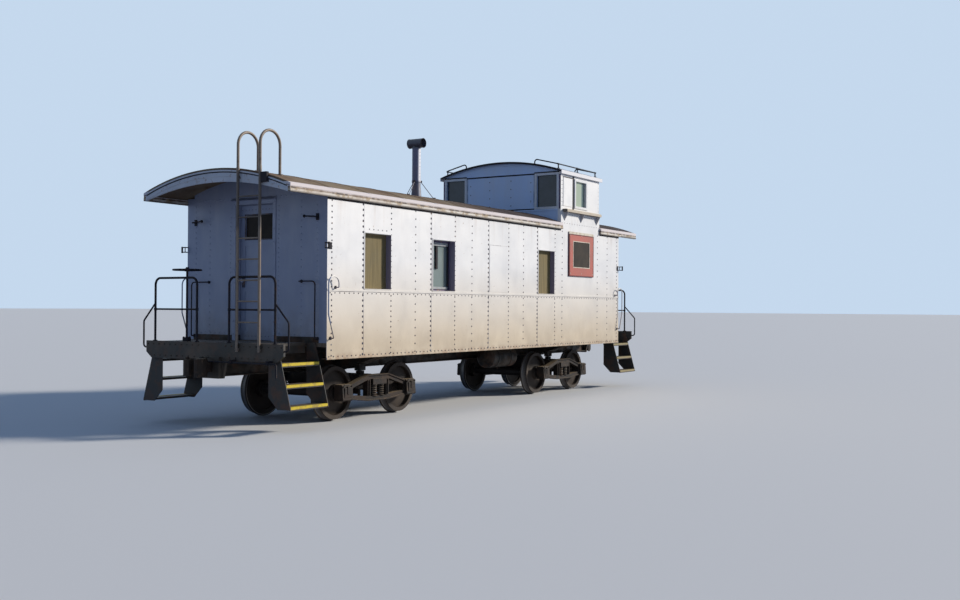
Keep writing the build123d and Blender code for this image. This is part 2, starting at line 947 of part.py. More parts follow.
def door_pane():
    middle = inner_half_length + door_thickness / 2
    return block(middle - glass_thickness / 2, middle + glass_thickness / 2,
                 -door_glass_width / 2, door_glass_width / 2, door_glass_bottom, door_glass_top)


# Roof fittings
def below_roof(x_low, x_high, crown, radius, half):
    # everything under the roof's outer face, so that what stands on the roof is cut to its curve
    side = arch_level(half, crown, radius) + seat_gap
    floor_level = side - roof_cut_depth
    edges = ThreePointArc((-half, side), (0, crown + seat_gap), (half, side))
    edges += Line((half, side), (half, floor_level)) + Line((half, floor_level), (-half, floor_level))
    edges += Line((-half, floor_level), (-half, side))
    return extrude(Plane.YZ.offset(x_low) * make_face(edges), amount=x_high - x_low)


def smokejack():
    # a riveted pipe with a conical collar, an open cross head and three stay rods
    x = smokejack_x
    y = smokejack_y
    base = roof_level(abs(y) + smokejack_collar_radius) - roof_root
    radius = smokejack_diameter / 2
    head_radius = smokejack_head_diameter / 2
    pipe_top = smokejack_head_level - head_radius + smokejack_head_lap
    pipe = Pos(x, y, (base + pipe_top) / 2) * Cylinder(radius, pipe_top - base)
    collar = Pos(x, y, roof_level(y) + smokejack_collar_height / 2) * Cone(
        smokejack_collar_radius, radius + smokejack_collar_lap, smokejack_collar_height)
    skirt = Pos(x, y, (base + roof_level(y)) / 2) * Cylinder(smokejack_collar_radius, roof_level(y) - base)
    clamp = Pos(x, y, stay_height) * Cylinder(radius + smokejack_clamp_proud, smokejack_clamp_height)
    head = Pos(x, y, smokejack_head_level) * Rot(90, 0, 0) * Cylinder(head_radius, smokejack_head_length)
    body = pipe + collar + skirt + clamp + head
    for turn in stay_turns:
        end_x = x + stay_reach * cos(radians(turn))
        end_y = y + stay_reach * sin(radians(turn))
        body += rod((x + radius * cos(radians(turn)), y + radius * sin(radians(turn)), stay_height),
                    (end_x, end_y, roof_level(end_y) - roof_root), stay_diameter)
        body += Pos(end_x, end_y, roof_level(end_y)) * Cylinder(stay_foot_radius, stay_foot_height)
    body -= Pos(x, y, smokejack_head_level) * Rot(90, 0, 0) * Cylinder(
        head_radius - smokejack_wall, smokejack_head_length)
    body -= Pos(x, y, (base + pipe_top) / 2) * Cylinder(
        radius - smokejack_wall, pipe_top - base + 2 * roof_root)
    return body - below_roof(x - roof_cut_depth, x + roof_cut_depth, roof_crown, roof_radius, half_width)


def cupola_handrail():
    # runs along the edge of the cupola roof and turns in over the arch at both ends
    out = half_width - handrail_inset
    inner = out - handrail_return
    start = cupola_start - cupola_roof_end_overhang + handrail_end_inset
    end = cupola_end + cupola_roof_end_overhang - handrail_end_inset
    low = cupola_roof_level(inner) - roof_root
    high_in = cupola_roof_level(inner) + handrail_height
    high_out = cupola_roof_level(out) + handrail_height
    rail = tube([(start, inner, low), (start, inner, high_in), (start, out, high_out),
                 (end, out, high_out), (end, inner, high_in), (end, inner, low)],
                handrail_diameter, 2 * handrail_diameter)
    foot = high_out - handrail_height - handrail_post_root
    for x in (start + handrail_post_inset, (start + end) / 2, end - handrail_post_inset):
        rail += rod((x, out, foot), (x, out, high_out), handrail_diameter)
    return rail - below_roof(start - handrail_diameter, end + handrail_diameter, cupola_crown,
                             cupola_radius, half_width)


# End fittings, drawn at end b
def end_ladder():
    x = ladder_x
    foot = end_sill_bottom + ladder_foot_height
    half = ladder_bracket_half_width
    low = foot + ladder_bracket_gap
    ladder = rod((x, ladder_inner_stile, first_rung), (x, ladder_outer_stile, first_rung), rung_diameter)
    for step in range(1, rung_count):
        z = first_rung + step * rung_spacing
        ladder += rod((x, ladder_inner_stile, z), (x, ladder_outer_stile, z), rung_diameter)
    for y in (ladder_inner_stile, ladder_outer_stile):
        ladder += rod((x, y, foot), (x, y, ladder_top), stile_diameter)
        ladder += block(end_of_platform, x, y - half, y + half, low, low + ladder_bracket_height)
        top = roof_level(y) - roof_thickness - ladder_bracket_drop
        ladder += block(roof_half_length, x, y - half, y + half, top - ladder_bracket_height, top)
    return ladder


def ladder_loop(y):
    # each stile goes on over the edge of the roof in a tall bow and lands on the sheet
    x = ladder_x
    landing = x - loop_span
    bow = tube([(x, y, ladder_top), (x, y, loop_height), (landing, y, loop_height),
                (landing, y, roof_level(y) - roof_root)], stile_diameter, loop_span / 2 - cut_margin)
    return bow - below_roof(landing - stile_diameter, landing + stile_diameter, roof_crown,
                            roof_radius, half_width)


def end_railing(side):
    # two posts, two rails and a bent handrail down to the corner of the end sill
    x = end_of_platform - end_sill_thickness / 2
    gate = side * rail_gate
    post = side * rail_post
    corner = side * (half_width + handrail_overhang)
    top = floor_top + rail_height
    foot = floor_top
    rail = tube([(x, gate, foot), (x, gate, top), (x, post, top), (x, post, foot)],
                rail_diameter, 3 * rail_diameter)
    middle = floor_top + rail_middle_height
    rail += rod((x, gate, middle), (x, post, middle), rail_middle_diameter)
    start = floor_top + handrail_start
    low = floor_top + handrail_corner
    rail += tube([(x, post, start), (x, corner, low), (x, corner, floor_top - handrail_foot),
                  (x, side * end_sill_half_width, floor_top - handrail_foot)],
                 handrail_diameter, handrail_diameter * 2)
    return rail


def hand_brake():
    # a vertical staff in a ratchet base with a spoked wheel on top
    x = end_of_platform - brake_staff_inset
    y = -brake_staff_y
    staff = rod((x, y, floor_top), (x, y, brake_wheel_height + brake_staff_top), brake_staff_diameter)
    staff += Pos(x, y, floor_top + brake_base_height / 2) * Cylinder(brake_base_radius, brake_base_height)
    staff += Pos(x, y, brake_wheel_height) * Cylinder(brake_hub_radius, brake_hub_height)
    rim = Cylinder(brake_wheel_radius + brake_wheel_rim / 2, brake_wheel_rim)
    rim -= Cylinder(brake_wheel_radius - brake_wheel_rim / 2, brake_wheel_rim)
    staff += Pos(x, y, brake_wheel_height) * chamfer(
        rim.edges().filter_by(GeomType.CIRCLE), brake_rim_chamfer)
    for spoke in range(brake_spoke_count):
        turn = radians(360 * spoke / brake_spoke_count)
        staff += rod((x, y, brake_wheel_height), (x + brake_wheel_radius * cos(turn),
                     y + brake_wheel_radius * sin(turn), brake_wheel_height), brake_spoke_diameter)
    return staff


def side_grab():
    # a bowed handhold round the corner of the body beside the steps
    wall = -half_width
    off = wall - grab_standoff
    corner = half_length
    back = corner - side_grab_reach
    front = corner + side_grab_overhang
    foot = corner - side_grab_foot_reach
    points = [
        (back, wall, side_grab_upper_foot), (back, off, side_grab_upper_foot), (back, off, side_grab_top),
        (front, off, side_grab_top), (front, off, side_grab_knee), (foot, off, side_grab_lower_foot),
        (foot, wall, side_grab_lower_foot),
    ]
    bends = [grab_foot_bend, side_grab_bend, side_grab_bend, side_grab_bend, grab_foot_bend]
    return tube(points, grab_diameter, bends)


def end_grab():
    # an upright handhold that turns in at the top
    wall = half_length
    off = wall + grab_standoff
    outer = -end_grab_outer_place
    inner = -end_grab_inner_place
    points = [
        (wall, outer, end_grab_foot), (off, outer, end_grab_foot), (off, outer, end_grab_top),
        (off, inner, end_grab_top), (wall, inner, end_grab_top),
    ]
    return tube(points, grab_diameter, [grab_foot_bend, end_grab_bend, grab_foot_bend])


def marker_bracket():
    # two arms run past the corner, turn outwards and hold an upright socket for a lamp
    root = half_length - marker_root
    x = half_length + marker_reach
    strap_start = x - marker_arm_thickness / 2
    strap_end = x + marker_arm_thickness / 2
    out = half_width + marker_arm_thickness
    bracket = block(root, root + marker_pad_length, half_width, half_width + marker_pad_thickness,
                    marker_height - marker_socket_length / 2, marker_height + marker_socket_length / 2)
    for middle in (marker_height - marker_arm_offset, marker_height + marker_arm_offset):
        bottom = middle - marker_arm_half_height
        top = middle + marker_arm_half_height
        bracket += block(root, strap_end, half_width, out, bottom, top)
        bracket += block(strap_start, strap_end, half_width, half_width + marker_standoff, bottom, top)
    # an upright strap joins the two arms where they turn
    bracket += block(strap_start, strap_end, half_width, out, marker_height - marker_arm_offset,
                     marker_height + marker_arm_offset)
    socket = Pos(x, half_width + marker_standoff, marker_height)
    bracket += socket * Cylinder(marker_socket_radius, marker_socket_length)
    return bracket - socket * Cylinder(marker_socket_bore, marker_socket_length)


def coupler():
    # the shank slides in the centre sill; the head has its guard arm on one side
    face = end_of_platform + coupler_reach
    half = coupler_shank / 2
    rear = face - coupler_head_length
    shank = block(end_of_platform - coupler_tail, rear + coupler_shank_lap, -half, half,
                  coupler_height - half, coupler_height + half)
    seat = face - knuckle_seat
    size = coupler_head_length
    outline = [(rear, -half), (face - 0.77 * size, -0.45 * size), (face - 0.58 * size, -0.62 * size),
               (seat, -0.65 * size), (seat, -0.35 * size)]
    outline += [(face + along * size, across * size) for along, across in guard_arm_outline]
    outline += [(rear, half)]
    head = prism_z(outline, coupler_height - coupler_head_height / 2,
                   coupler_height + coupler_head_height / 2)
    return shank + head


def knuckle():
    face = end_of_platform + coupler_reach
    back = face - knuckle_seat + seat_gap
    size = coupler_head_length
    outline = [(back, -0.62 * size)]
    outline += [(face + along * size, across * size) for along, across in knuckle_outline]
    outline += [(back, -0.35 * size)]
    return prism_z(outline, coupler_height - knuckle_height / 2, coupler_height + knuckle_height / 2)


def cut_lever():
    x = end_of_platform + buffer_thickness + cut_lever_gap + cut_lever_diameter / 2
    z = cut_lever_height
    reach = end_sill_half_width - cut_lever_end_gap
    handle = cut_lever_handle_reach
    lever = tube([(x, cut_lever_start, z), (x, reach, z), (x + handle, reach + handle,
                 z - cut_lever_handle_drop)], cut_lever_diameter, 2 * cut_lever_diameter)
    half = lever_bracket_half_width
    top = z + lever_bracket_height
    for y in (lever_bracket_inner_place, lever_bracket_outer_place):
        lever += block(end_of_platform, x, y - half, y + half, z + lever_bracket_foot, top)
        lever += block(x - half, x + half, y - half, y + half, z - half, top)
    return lever


# Gear under the floor
def brake_cylinder():
    z = floor_bottom - brake_cylinder_drop - brake_cylinder_radius
    axis = Pos(brake_cylinder_x, brake_cylinder_y, z) * Rot(0, 90, 0)
    body = axis * Cylinder(brake_cylinder_radius, brake_cylinder_length)
    for end in (-1, 1):
        flange = Pos(brake_cylinder_x + end * (brake_cylinder_length - brake_flange_thickness) / 2,
                     brake_cylinder_y, z)
        body += flange * Rot(0, 90, 0) * Cylinder(
            brake_cylinder_radius + brake_flange_proud, brake_flange_thickness)
        x = brake_cylinder_x + end * brake_cylinder_length / 4
        body += block(x - hanger_thickness, x + hanger_thickness,
                      brake_cylinder_y - brake_hanger_half_width,
                      brake_cylinder_y + brake_hanger_half_width, z, floor_bottom)
    body += rod((brake_cylinder_x, brake_cylinder_y, z),
                (brake_cylinder_x - push_rod_reach, brake_cylinder_y, z), push_rod_diameter)
    return body


def reservoir():
    z = floor_bottom - reservoir_drop - reservoir_radius
    half = reservoir_length / 2
    bulge = reservoir_radius * 0.35
    dome = [(0, half + bulge), (reservoir_radius * 0.5, half + bulge * 0.85),
            (reservoir_radius * 0.85, half + bulge * 0.5), (reservoir_radius, half)]
    outline = Polyline(*dome, *[(r, -y) for r, y in reversed(dome)], close=True)
    tank = Pos(reservoir_x, reservoir_y, z) * Rot(0, 0, 90) * revolve(make_face(outline), Axis.Y)
    for x in (reservoir_x - half * 0.55, reservoir_x + half * 0.55):
        band = Pos(x, reservoir_y, z) * Rot(0, 90, 0) * Cylinder(
            reservoir_radius + reservoir_band_proud, hanger_width)
        band += block(x - hanger_width / 2, x + hanger_width / 2,
                      reservoir_y - reservoir_hanger_half_width,
                      reservoir_y + reservoir_hanger_half_width, z, floor_bottom)
        tank += band
    return tank


def placard():
    # a plain sign with a raised border
    face = -half_width - placard_thickness
    sign = block(placard_start, placard_end, face, -half_width, placard_bottom, placard_top)
    return sign - block(placard_start + placard_border, placard_end - placard_border,
                        face, face + placard_step, placard_bottom + placard_border,
                        placard_top - placard_border)


# Trucks, drawn about their own centre
def side_frame():
    # a cast frame with an arched top, a window for the bolster and springs and two lighter windows
    inner = side_frame_inner
    outer = inner + side_frame_thickness
    top = side_frame_top
    low = side_frame_bottom
    box = wheelbase / 2 - journal_box_half_length
    far = wheelbase / 2 + journal_box_half_length
    box_top = journal_box_top - side_frame_lap
    box_low = journal_box_bottom + side_frame_lap
    half = [
        (side_frame_crown_half, top), (box, box_top), (far, box_top), (far, box_low), (box, box_low),
        (side_frame_foot_half, low),
    ]
    outline = half + [(-x, z) for x, z in reversed(half)]
    frame = prism_y(outline, inner, outer)
    chord = side_frame_chord
    frame -= block(-bolster_window_half, bolster_window_half, inner, outer, spring_seat, top - chord)
    column = bolster_window_half + chord
    edge = box - side_frame_window_gap
    window = [
        (column, spring_seat + side_frame_lap), (column, top - chord - side_frame_lap),
        (edge, box_low + chord + side_frame_window_height), (edge, box_low + chord),
    ]
    for direction in (-1, 1):
        frame -= prism_y([(direction * x, z) for x, z in window], inner, outer)
        middle = direction * wheelbase / 2
        corner = journal_box_chamfer
        slope_start = journal_box_outer - journal_lid_slope
        frame += prism_x(
            [(journal_box_inner, journal_box_bottom), (journal_box_outer - corner, journal_box_bottom),
             (journal_box_outer, journal_box_bottom + corner),
             (journal_box_outer - journal_lid_lean, journal_box_top - corner),
             (slope_start, journal_box_top), (journal_box_inner, journal_box_top)],
            middle - journal_box_half_length, middle + journal_box_half_length)
        frame += Pos(middle, slope_start, journal_box_top - side_frame_lap) * Rot(0, 90, 0) * Cylinder(
            journal_lid_pin_radius, journal_lid_pin_length)
        depth = journal_end + 2 * door_gap - journal_box_inner
        bore = Pos(middle, journal_box_inner + depth / 2, axle_height) * Rot(90, 0, 0)
        frame -= bore * Cylinder(journal_radius + seat_gap, depth)
    return frame


def truck_bolster():
    end_top = truck_bolster_end_bottom + truck_bolster_end_height
    half = [
        (truck_bolster_middle_half, truck_bolster_middle_bottom),
        (truck_bolster_knee, truck_bolster_end_bottom), (truck_bolster_end, truck_bolster_end_bottom),
        (truck_bolster_end, end_top), (truck_bolster_shoulder, end_top),
        (truck_bolster_top_half, truck_bolster_top),
    ]
    outline = half + [(-y, z) for y, z in reversed(half)]
    beam = prism_x(outline, -truck_bolster_half_width, truck_bolster_half_width)
    bowl = Cylinder(centre_plate_radius + bowl_clearance + bowl_rim, bowl_depth,
                    align=(Align.CENTER, Align.CENTER, Align.MIN))
    bowl -= Cylinder(centre_plate_radius + bowl_clearance, bowl_depth,
                     align=(Align.CENTER, Align.CENTER, Align.MIN))
    beam += Pos(0, 0, truck_bolster_top) * bowl
    pad = block(-side_bearing_half_length, side_bearing_half_length,
                side_bearing_offset - side_bearing_half_width,
                side_bearing_offset + side_bearing_half_width,
                truck_bolster_top, truck_bolster_top + side_bearing_height)
    for piece in both_sides(pad):
        beam += piece
    return beam


def coil_spring(x, y):
    # closed turns of round wire, drawn as rings about a core
    height = truck_bolster_end_bottom - spring_seat
    pitch = height / spring_turns
    wire = spring_wire / 2
    points = [(0, 0)]
    for turn in range(spring_turns):
        base = turn * pitch
        points += [(spring_radius - wire, base), (spring_radius, base + pitch * 0.3),
                   (spring_radius, base + pitch * 0.7), (spring_radius - wire, base + pitch)]
    points += [(0, height)]
    clean = [point for step, point in enumerate(points) if step == 0 or point != points[step - 1]]
    section = Plane.XZ * make_face(Polyline(*clean, close=True))
    return Pos(x, y, spring_seat) * revolve(section, Axis.Z)


def truck_brakes():
    # a beam across the truck inside each wheelset, with a shoe facing each tread
    pieces = []
    shoe_face = wheel_radius + brake_shoe_clearance
    back = shoe_face + brake_shoe_thickness
    for direction in (-1, 1):
        axle = direction * wheelbase / 2
        near = axle - direction * (back - brake_beam_lap)
        far = near - direction * brake_beam_width
        low = axle_height - brake_beam_height / 2
        high = axle_height + brake_beam_height / 2
        reach = side_frame_inner - seat_gap
        beam = block(min(near, far), max(near, far), -reach, reach, low, high)
        for side in (-1, 1):
            ends = sorted((side * (reach - brake_guide_length), side * reach))
            beam += block(min(near, far), max(near, far), *ends, side_frame_bottom + side_frame_lap, low)
            middle = side * (brake_shoe_inner + brake_shoe_width / 2)
            ring = Pos(axle, middle, axle_height) * Rot(90, 0, 0) * Cylinder(back, brake_shoe_width)
            ring -= Pos(axle, middle, axle_height) * Rot(90, 0, 0) * Cylinder(shoe_face, brake_shoe_width)
            span = sorted((axle, axle - direction * 2 * back))
            keep = block(*span, middle - brake_shoe_width / 2, middle + brake_shoe_width / 2,
                         axle_height - brake_shoe_half_height, axle_height + brake_shoe_half_height)
            beam += ring & keep
        pieces.append(beam)
    return pieces


def wheelset(x):
    # both wheels and the axle turn as one
    flange = wheel_radius + flange_height
    front = wheel_back + wheel_width
    rim = wheel_radius - rim_depth
    plate_face = hub_face - hub_boss
    half = [
        (0, journal_end), (journal_radius, journal_end), (journal_radius, journal_end - journal_length),
        (axle_radius, journal_end - journal_length), (axle_radius, hub_face), (hub_radius, hub_face),
        (hub_radius + hub_fillet, plate_face), (rim, wheel_back + plate_outer_place), (rim, front),
        (wheel_radius - rim_chamfer, front), (wheel_radius, wheel_back + flange_throat_place),
        (wheel_radius + flange_throat_height, wheel_back + flange_root_place),
        (flange, wheel_back + flange_tip_place), (flange, wheel_back + flange_chamfer),
        (flange - flange_chamfer, wheel_back), (rim, wheel_back),
        (rim, wheel_back + plate_inner_place), (hub_radius + hub_fillet, plate_face - plate_thickness),
        (hub_radius, hub_back), (axle_radius, hub_back),
    ]
    outline = half + [(r, -y) for r, y in reversed(half)]
    section = make_face(Polyline(*outline, close=True))
    return Pos(x, 0, axle_height) * revolve(section, Axis.Y)


# The caboose, piece by piece
save("centre_sill", centre_sill())
save("body_bolsters", body_bolster(-truck_x) + body_bolster(truck_x))
save("side_sills", side_sills())
save("cross_bearers", cross_bearers())
save("floor", floor())
save("platforms", both_ends(platform()))
save("steps", four_corners(step_unit()))

left_side = side_wall()
save("side_wall_left", left_side)
save("side_wall_right", mirror(left_side, about=Plane.XZ))
save("end_walls", both_ends(end_wall()))
leaves = both_ends(Compound(hinge_leaves()))
save("door_casings", both_ends(door_casing()))
save("hinge_leaves", leaves)
save("main_roof", main_roof())
save("eave_fascia", eave_fascia())
save("end_fascia", both_ends(end_fascia()))

cupola_faces = ((cupola_start, 1), (cupola_end, -1))
save("cupola_sides", both_sides(cupola_side()))
save("cupola_ends", [cupola_end_wall(face, inward) for face, inward in cupola_faces])
save("cupola_roof", cupola_roof())
save("cupola_ledges", both_sides(cupola_ledge()))

save("window_frames", [piece for x, glazed in window_places for piece in both_sides(window_frame(x))])
save("window_glass", [piece for x, glazed in window_places if glazed
                      for piece in both_sides(window_pane(x))])
save("window_boards", [piece for x, glazed in window_places if not glazed
                       for piece in both_sides(window_board(x))])
trims = both_sides(cupola_side_trim())
panes = both_sides(cupola_side_pane())
for face, inward in cupola_faces:
    trims += both_sides(cupola_end_trim(face, inward))
    panes += both_sides(cupola_end_pane(face, inward))
save("cupola_trims", trims)
save("cupola_glass", panes)
save("side_placard", placard())

save("smokejack", smokejack())
save("cupola_handrails", both_sides(cupola_handrail()))
save("end_ladders", both_ends(end_ladder()))
inner_loops = both_ends(ladder_loop(ladder_inner_stile))
outer_loops = both_ends(ladder_loop(ladder_outer_stile))
save("ladder_loops", inner_loops + outer_loops)
save("end_railings", both_ends(end_railing(1)) + both_ends(end_railing(-1)))
save("hand_brakes", both_ends(hand_brake()))
save("side_grabs", four_corners(side_grab()))
save("end_grabs", four_corners(end_grab()))
save("marker_brackets", four_corners(marker_bracket()))
save("couplers", both_ends(coupler()))
save("coupler_knuckles", both_ends(knuckle()))
save("cut_levers", both_ends(cut_lever()))
save("brake_cylinder", brake_cylinder())
save("air_reservoir", reservoir())

for end, door_solid in zip("ba", both_ends(door())):
    save(f"door_{end}", door_solid)
for end, pane_solid in zip("ba", both_ends(door_pane())):
    save(f"door_{end}_glass", pane_solid)

frames = both_sides(side_frame())
bolster = truck_bolster()
springs = []
for x in (-spring_pitch_x, spring_pitch_x):
    springs += both_sides(coil_spring(x, side_frame_inner + side_frame_thickness / 2))
brakes = truck_brakes()
axles = [wheelset(-wheelbase / 2), wheelset(wheelbase / 2)]
for end, centre in (("a", -truck_x), ("b", truck_x)):
    place = Pos(centre, 0, 0)
    save(f"truck_{end}_side_frames", [place * piece for piece in frames])
    save(f"truck_{end}_bolster", place * bolster)
    save(f"truck_{end}_springs", [place * piece for piece in springs])
    save(f"truck_{end}_brakes", [place * piece for piece in brakes])
    for number, axle in enumerate(axles, start=1):
        save(f"wheelset_{end}{number}", place * axle)
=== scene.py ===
import math
import bmesh
import bpy
from mathutils import Matrix, Vector


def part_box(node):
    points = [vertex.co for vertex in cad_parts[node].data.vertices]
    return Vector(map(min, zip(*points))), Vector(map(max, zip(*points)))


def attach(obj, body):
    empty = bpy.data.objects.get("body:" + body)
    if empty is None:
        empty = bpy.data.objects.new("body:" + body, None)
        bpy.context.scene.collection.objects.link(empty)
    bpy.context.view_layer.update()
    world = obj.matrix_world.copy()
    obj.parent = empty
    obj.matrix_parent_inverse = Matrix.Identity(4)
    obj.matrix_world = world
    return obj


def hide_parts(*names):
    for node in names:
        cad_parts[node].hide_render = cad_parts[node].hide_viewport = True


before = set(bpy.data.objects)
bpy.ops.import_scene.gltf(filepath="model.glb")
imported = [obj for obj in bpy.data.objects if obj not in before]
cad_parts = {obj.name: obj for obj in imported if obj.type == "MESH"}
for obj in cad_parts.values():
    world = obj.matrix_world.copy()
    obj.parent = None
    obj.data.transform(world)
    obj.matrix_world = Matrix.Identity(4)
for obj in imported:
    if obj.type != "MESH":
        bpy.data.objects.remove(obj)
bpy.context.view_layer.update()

# Studio
# A pale matt floor under the wheels and an even pale surround, as in a bright workshop.
# One broad warm lamp shines on the long right side, and the cool surround fills the shaded end.
floor_reach = 400.0
floor_seen = (0.74, 0.735, 0.72)
floor_bounce = (0.27, 0.30, 0.37)
surround_light = (0.37, 0.61, 1.12)
surround_seen = (0.56, 0.69, 0.85)
surround_strength = 0.26
lamp_energy = 3.7
lamp_colour = (1.0, 0.945, 0.865)
lamp_spread = math.radians(7)
lamp_direction = Vector((0.72, -0.62, 0.42))


def shader_input(finish, name):
    return finish.node_tree.nodes["Principled BSDF"].inputs[name]


def join(owner, output, socket):
    owner.node_tree.links.new(output, socket)


def start_finish(name, colour, roughness, metallic=0.0, shine=0.5):
    finish = bpy.data.materials.new(name)
    finish.use_nodes = True
    shader_input(finish, "Base Color").default_value = (*colour, 1)
    shader_input(finish, "Roughness").default_value = roughness
    shader_input(finish, "Metallic").default_value = metallic
    shader_input(finish, "Specular IOR Level").default_value = shine
    return finish


def add_node(owner, kind, values=(), **settings):
    made = owner.node_tree.nodes.new(kind)
    for key, value in settings.items():
        setattr(made, key, value)
    for key, value in dict(values).items():
        made.inputs[key].default_value = value
    return made


def seen_rays(owner):
    # 1 for what is seen, straight or in a reflection or through glass, and 0 for light that falls on things
    rays = add_node(owner, "ShaderNodeLightPath")
    total = rays.outputs["Is Camera Ray"]
    for name in ("Is Glossy Ray", "Is Transmission Ray"):
        larger = add_node(owner, "ShaderNodeMath", operation="MAXIMUM")
        join(owner, total, larger.inputs[0])
        join(owner, rays.outputs[name], larger.inputs[1])
        total = larger.outputs[0]
    return total


ground = bmesh.new()
bmesh.ops.create_grid(ground, x_segments=8, y_segments=8, size=floor_reach)
ground_mesh = bpy.data.meshes.new("studio_floor")
ground.to_mesh(ground_mesh)
ground.free()
studio_floor = bpy.data.objects.new("studio_floor", ground_mesh)
bpy.context.scene.collection.objects.link(studio_floor)
floor_paint = start_finish("pale_floor", floor_seen, 0.9)
floor_noise = add_node(floor_paint, "ShaderNodeTexNoise", {"Scale": 0.8})
floor_ramp = add_node(floor_paint, "ShaderNodeValToRGB")
floor_ramp.color_ramp.elements[0].color = (*[c * 0.97 for c in floor_seen], 1)
floor_ramp.color_ramp.elements[1].color = (*floor_seen, 1)
floor_choice = add_node(floor_paint, "ShaderNodeMix", {6: (*floor_bounce, 1)}, data_type="RGBA")
join(floor_paint, floor_noise.outputs["Fac"], floor_ramp.inputs["Fac"])
join(floor_paint, floor_ramp.outputs["Color"], floor_choice.inputs[7])
join(floor_paint, seen_rays(floor_paint), floor_choice.inputs[0])
join(floor_paint, floor_choice.outputs[2], shader_input(floor_paint, "Base Color"))
ground_mesh.materials.append(floor_paint)

surround = bpy.data.worlds.new("pale_surround")
surround.use_nodes = True
fill = surround.node_tree.nodes["Background"]
fill.inputs["Color"].default_value = (*surround_light, 1)
fill.inputs["Strength"].default_value = surround_strength
backdrop = add_node(surround, "ShaderNodeBackground", {"Color": (*surround_seen, 1), "Strength": 1.0})
sky_choice = add_node(surround, "ShaderNodeMixShader")
join(surround, seen_rays(surround), sky_choice.inputs["Fac"])
join(surround, fill.outputs[0], sky_choice.inputs[1])
join(surround, backdrop.outputs[0], sky_choice.inputs[2])
join(surround, sky_choice.outputs[0], surround.node_tree.nodes["World Output"].inputs["Surface"])
bpy.context.scene.world = surround

lamp_data = bpy.data.lights.new("broad_lamp", "SUN")
lamp_data.energy = lamp_energy
lamp_data.color = lamp_colour
lamp_data.angle = lamp_spread
broad_lamp = bpy.data.objects.new("broad_lamp", lamp_data)
broad_lamp.rotation_mode = "QUATERNION"
broad_lamp.rotation_quaternion = lamp_direction.to_track_quat("Z", "Y")
bpy.context.scene.collection.objects.link(broad_lamp)
bpy.context.scene.view_settings.view_transform = "Standard"

# Camera
# Stands in front of the near end on the right side, at about eye height, with a 40 mm lens.
camera_place = Vector((-17.004, -11.600, 1.799))
camera_turn = 0.5606
camera_tilt = 0.0066
camera_roll = 0.006
camera_lens = 40.0

look = Vector((math.cos(camera_tilt) * math.cos(camera_turn),
               math.cos(camera_tilt) * math.sin(camera_turn), math.sin(camera_tilt)))
level_right = look.cross(Vector((0, 0, 1))).normalized()
level_up = level_right.cross(look)
right = level_right * math.cos(camera_roll) + level_up * math.sin(camera_roll)
upward = right.cross(look)
camera_data = bpy.data.cameras.new("camera")
camera_data.lens = camera_lens
camera_data.sensor_width = 36.0
camera_data.clip_end = 900.0
camera = bpy.data.objects.new("camera", camera_data)
camera.matrix_world = Matrix.Translation(camera_place) @ Matrix((right, upward, -look)).transposed().to_4x4()
bpy.context.scene.collection.objects.link(camera)
bpy.context.scene.camera = camera

# Frame under the floor
# Rolled steel centre sill, side sills, bolsters and cross bearers, riveted up and painted black.
# Years of track dust lie on every upper face, and rust comes through along the edges.
black_paint = (0.018, 0.017, 0.016)
dust = (0.20, 0.145, 0.095)
dark_rust = (0.085, 0.038, 0.019)


def object_place(finish, stretch=(1, 1, 1), shift=(0, 0, 0)):
    source = add_node(finish, "ShaderNodeTexCoord")
    mapping = add_node(finish, "ShaderNodeMapping", {"Scale": stretch, "Location": shift})
    join(finish, source.outputs["Object"], mapping.inputs["Vector"])
    return mapping.outputs["Vector"]


def spread(finish, value, low, high):
    # 0 at the low reading, 1 at the high one, and even between them
    made = add_node(finish, "ShaderNodeMapRange", {"From Min": low, "From Max": high})
    join(finish, value, made.inputs["Value"])
    return made.outputs["Result"]


def patches(finish, scale, low=0.45, high=0.6, detail=5.0, stretch=(1, 1, 1), shift=(0, 0, 0)):
    noise = add_node(finish, "ShaderNodeTexNoise", {"Scale": scale, "Detail": detail, "Roughness": 0.6})
    join(finish, object_place(finish, stretch, shift), noise.inputs["Vector"])
    return spread(finish, noise.outputs["Fac"], low, high)


def part_of(finish, vector, axis, low, high):
    parts = add_node(finish, "ShaderNodeSeparateXYZ")
    join(finish, vector, parts.inputs["Vector"])
    return spread(finish, parts.outputs[axis], low, high)


def facing(finish, axis, low, high):
    return part_of(finish, add_node(finish, "ShaderNodeNewGeometry").outputs["Normal"], axis, low, high)


def facing_up(finish, low=0.3, high=0.9):
    return facing(finish, "Z", low, high)


def both(finish, first, second):
    made = add_node(finish, "ShaderNodeMath", operation="MULTIPLY")
    for place, value in enumerate((first, second)):
        if isinstance(value, float):
            made.inputs[place].default_value = value
        else:
            join(finish, value, made.inputs[place])
    return made.outputs["Value"]


def coat(finish, colour, strength, *masks):
    # a coat of the colour, as strong as all its masks together allow
    socket = shader_input(finish, "Base Color")
    mix = add_node(finish, "ShaderNodeMix", {7: (*colour, 1)}, data_type="RGBA")
    if socket.is_linked:
        join(finish, socket.links[0].from_socket, mix.inputs[6])
    else:
        mix.inputs[6].default_value = socket.default_value
    cover = strength
    for mask in masks:
        cover = both(finish, mask, cover)
    join(finish, cover, mix.inputs[0])
    join(finish, mix.outputs[2], socket)


def stain(finish, colour, strength, scale, low, high, **more):
    coat(finish, colour, strength, patches(finish, scale, low, high, **more))


def relief(finish, height, depth, strength=1.0):
    normal = shader_input(finish, "Normal")
    bump = add_node(finish, "ShaderNodeBump", {"Distance": depth, "Strength": strength})
    join(finish, height, bump.inputs["Height"])
    if normal.is_linked:
        join(finish, normal.links[0].from_socket, bump.inputs["Normal"])
    join(finish, bump.outputs["Normal"], normal)


def grain(finish, depth, scale, low=0.3, high=0.7, strength=1.0, **more):
    relief(finish, patches(finish, scale, low, high, **more), depth, strength)


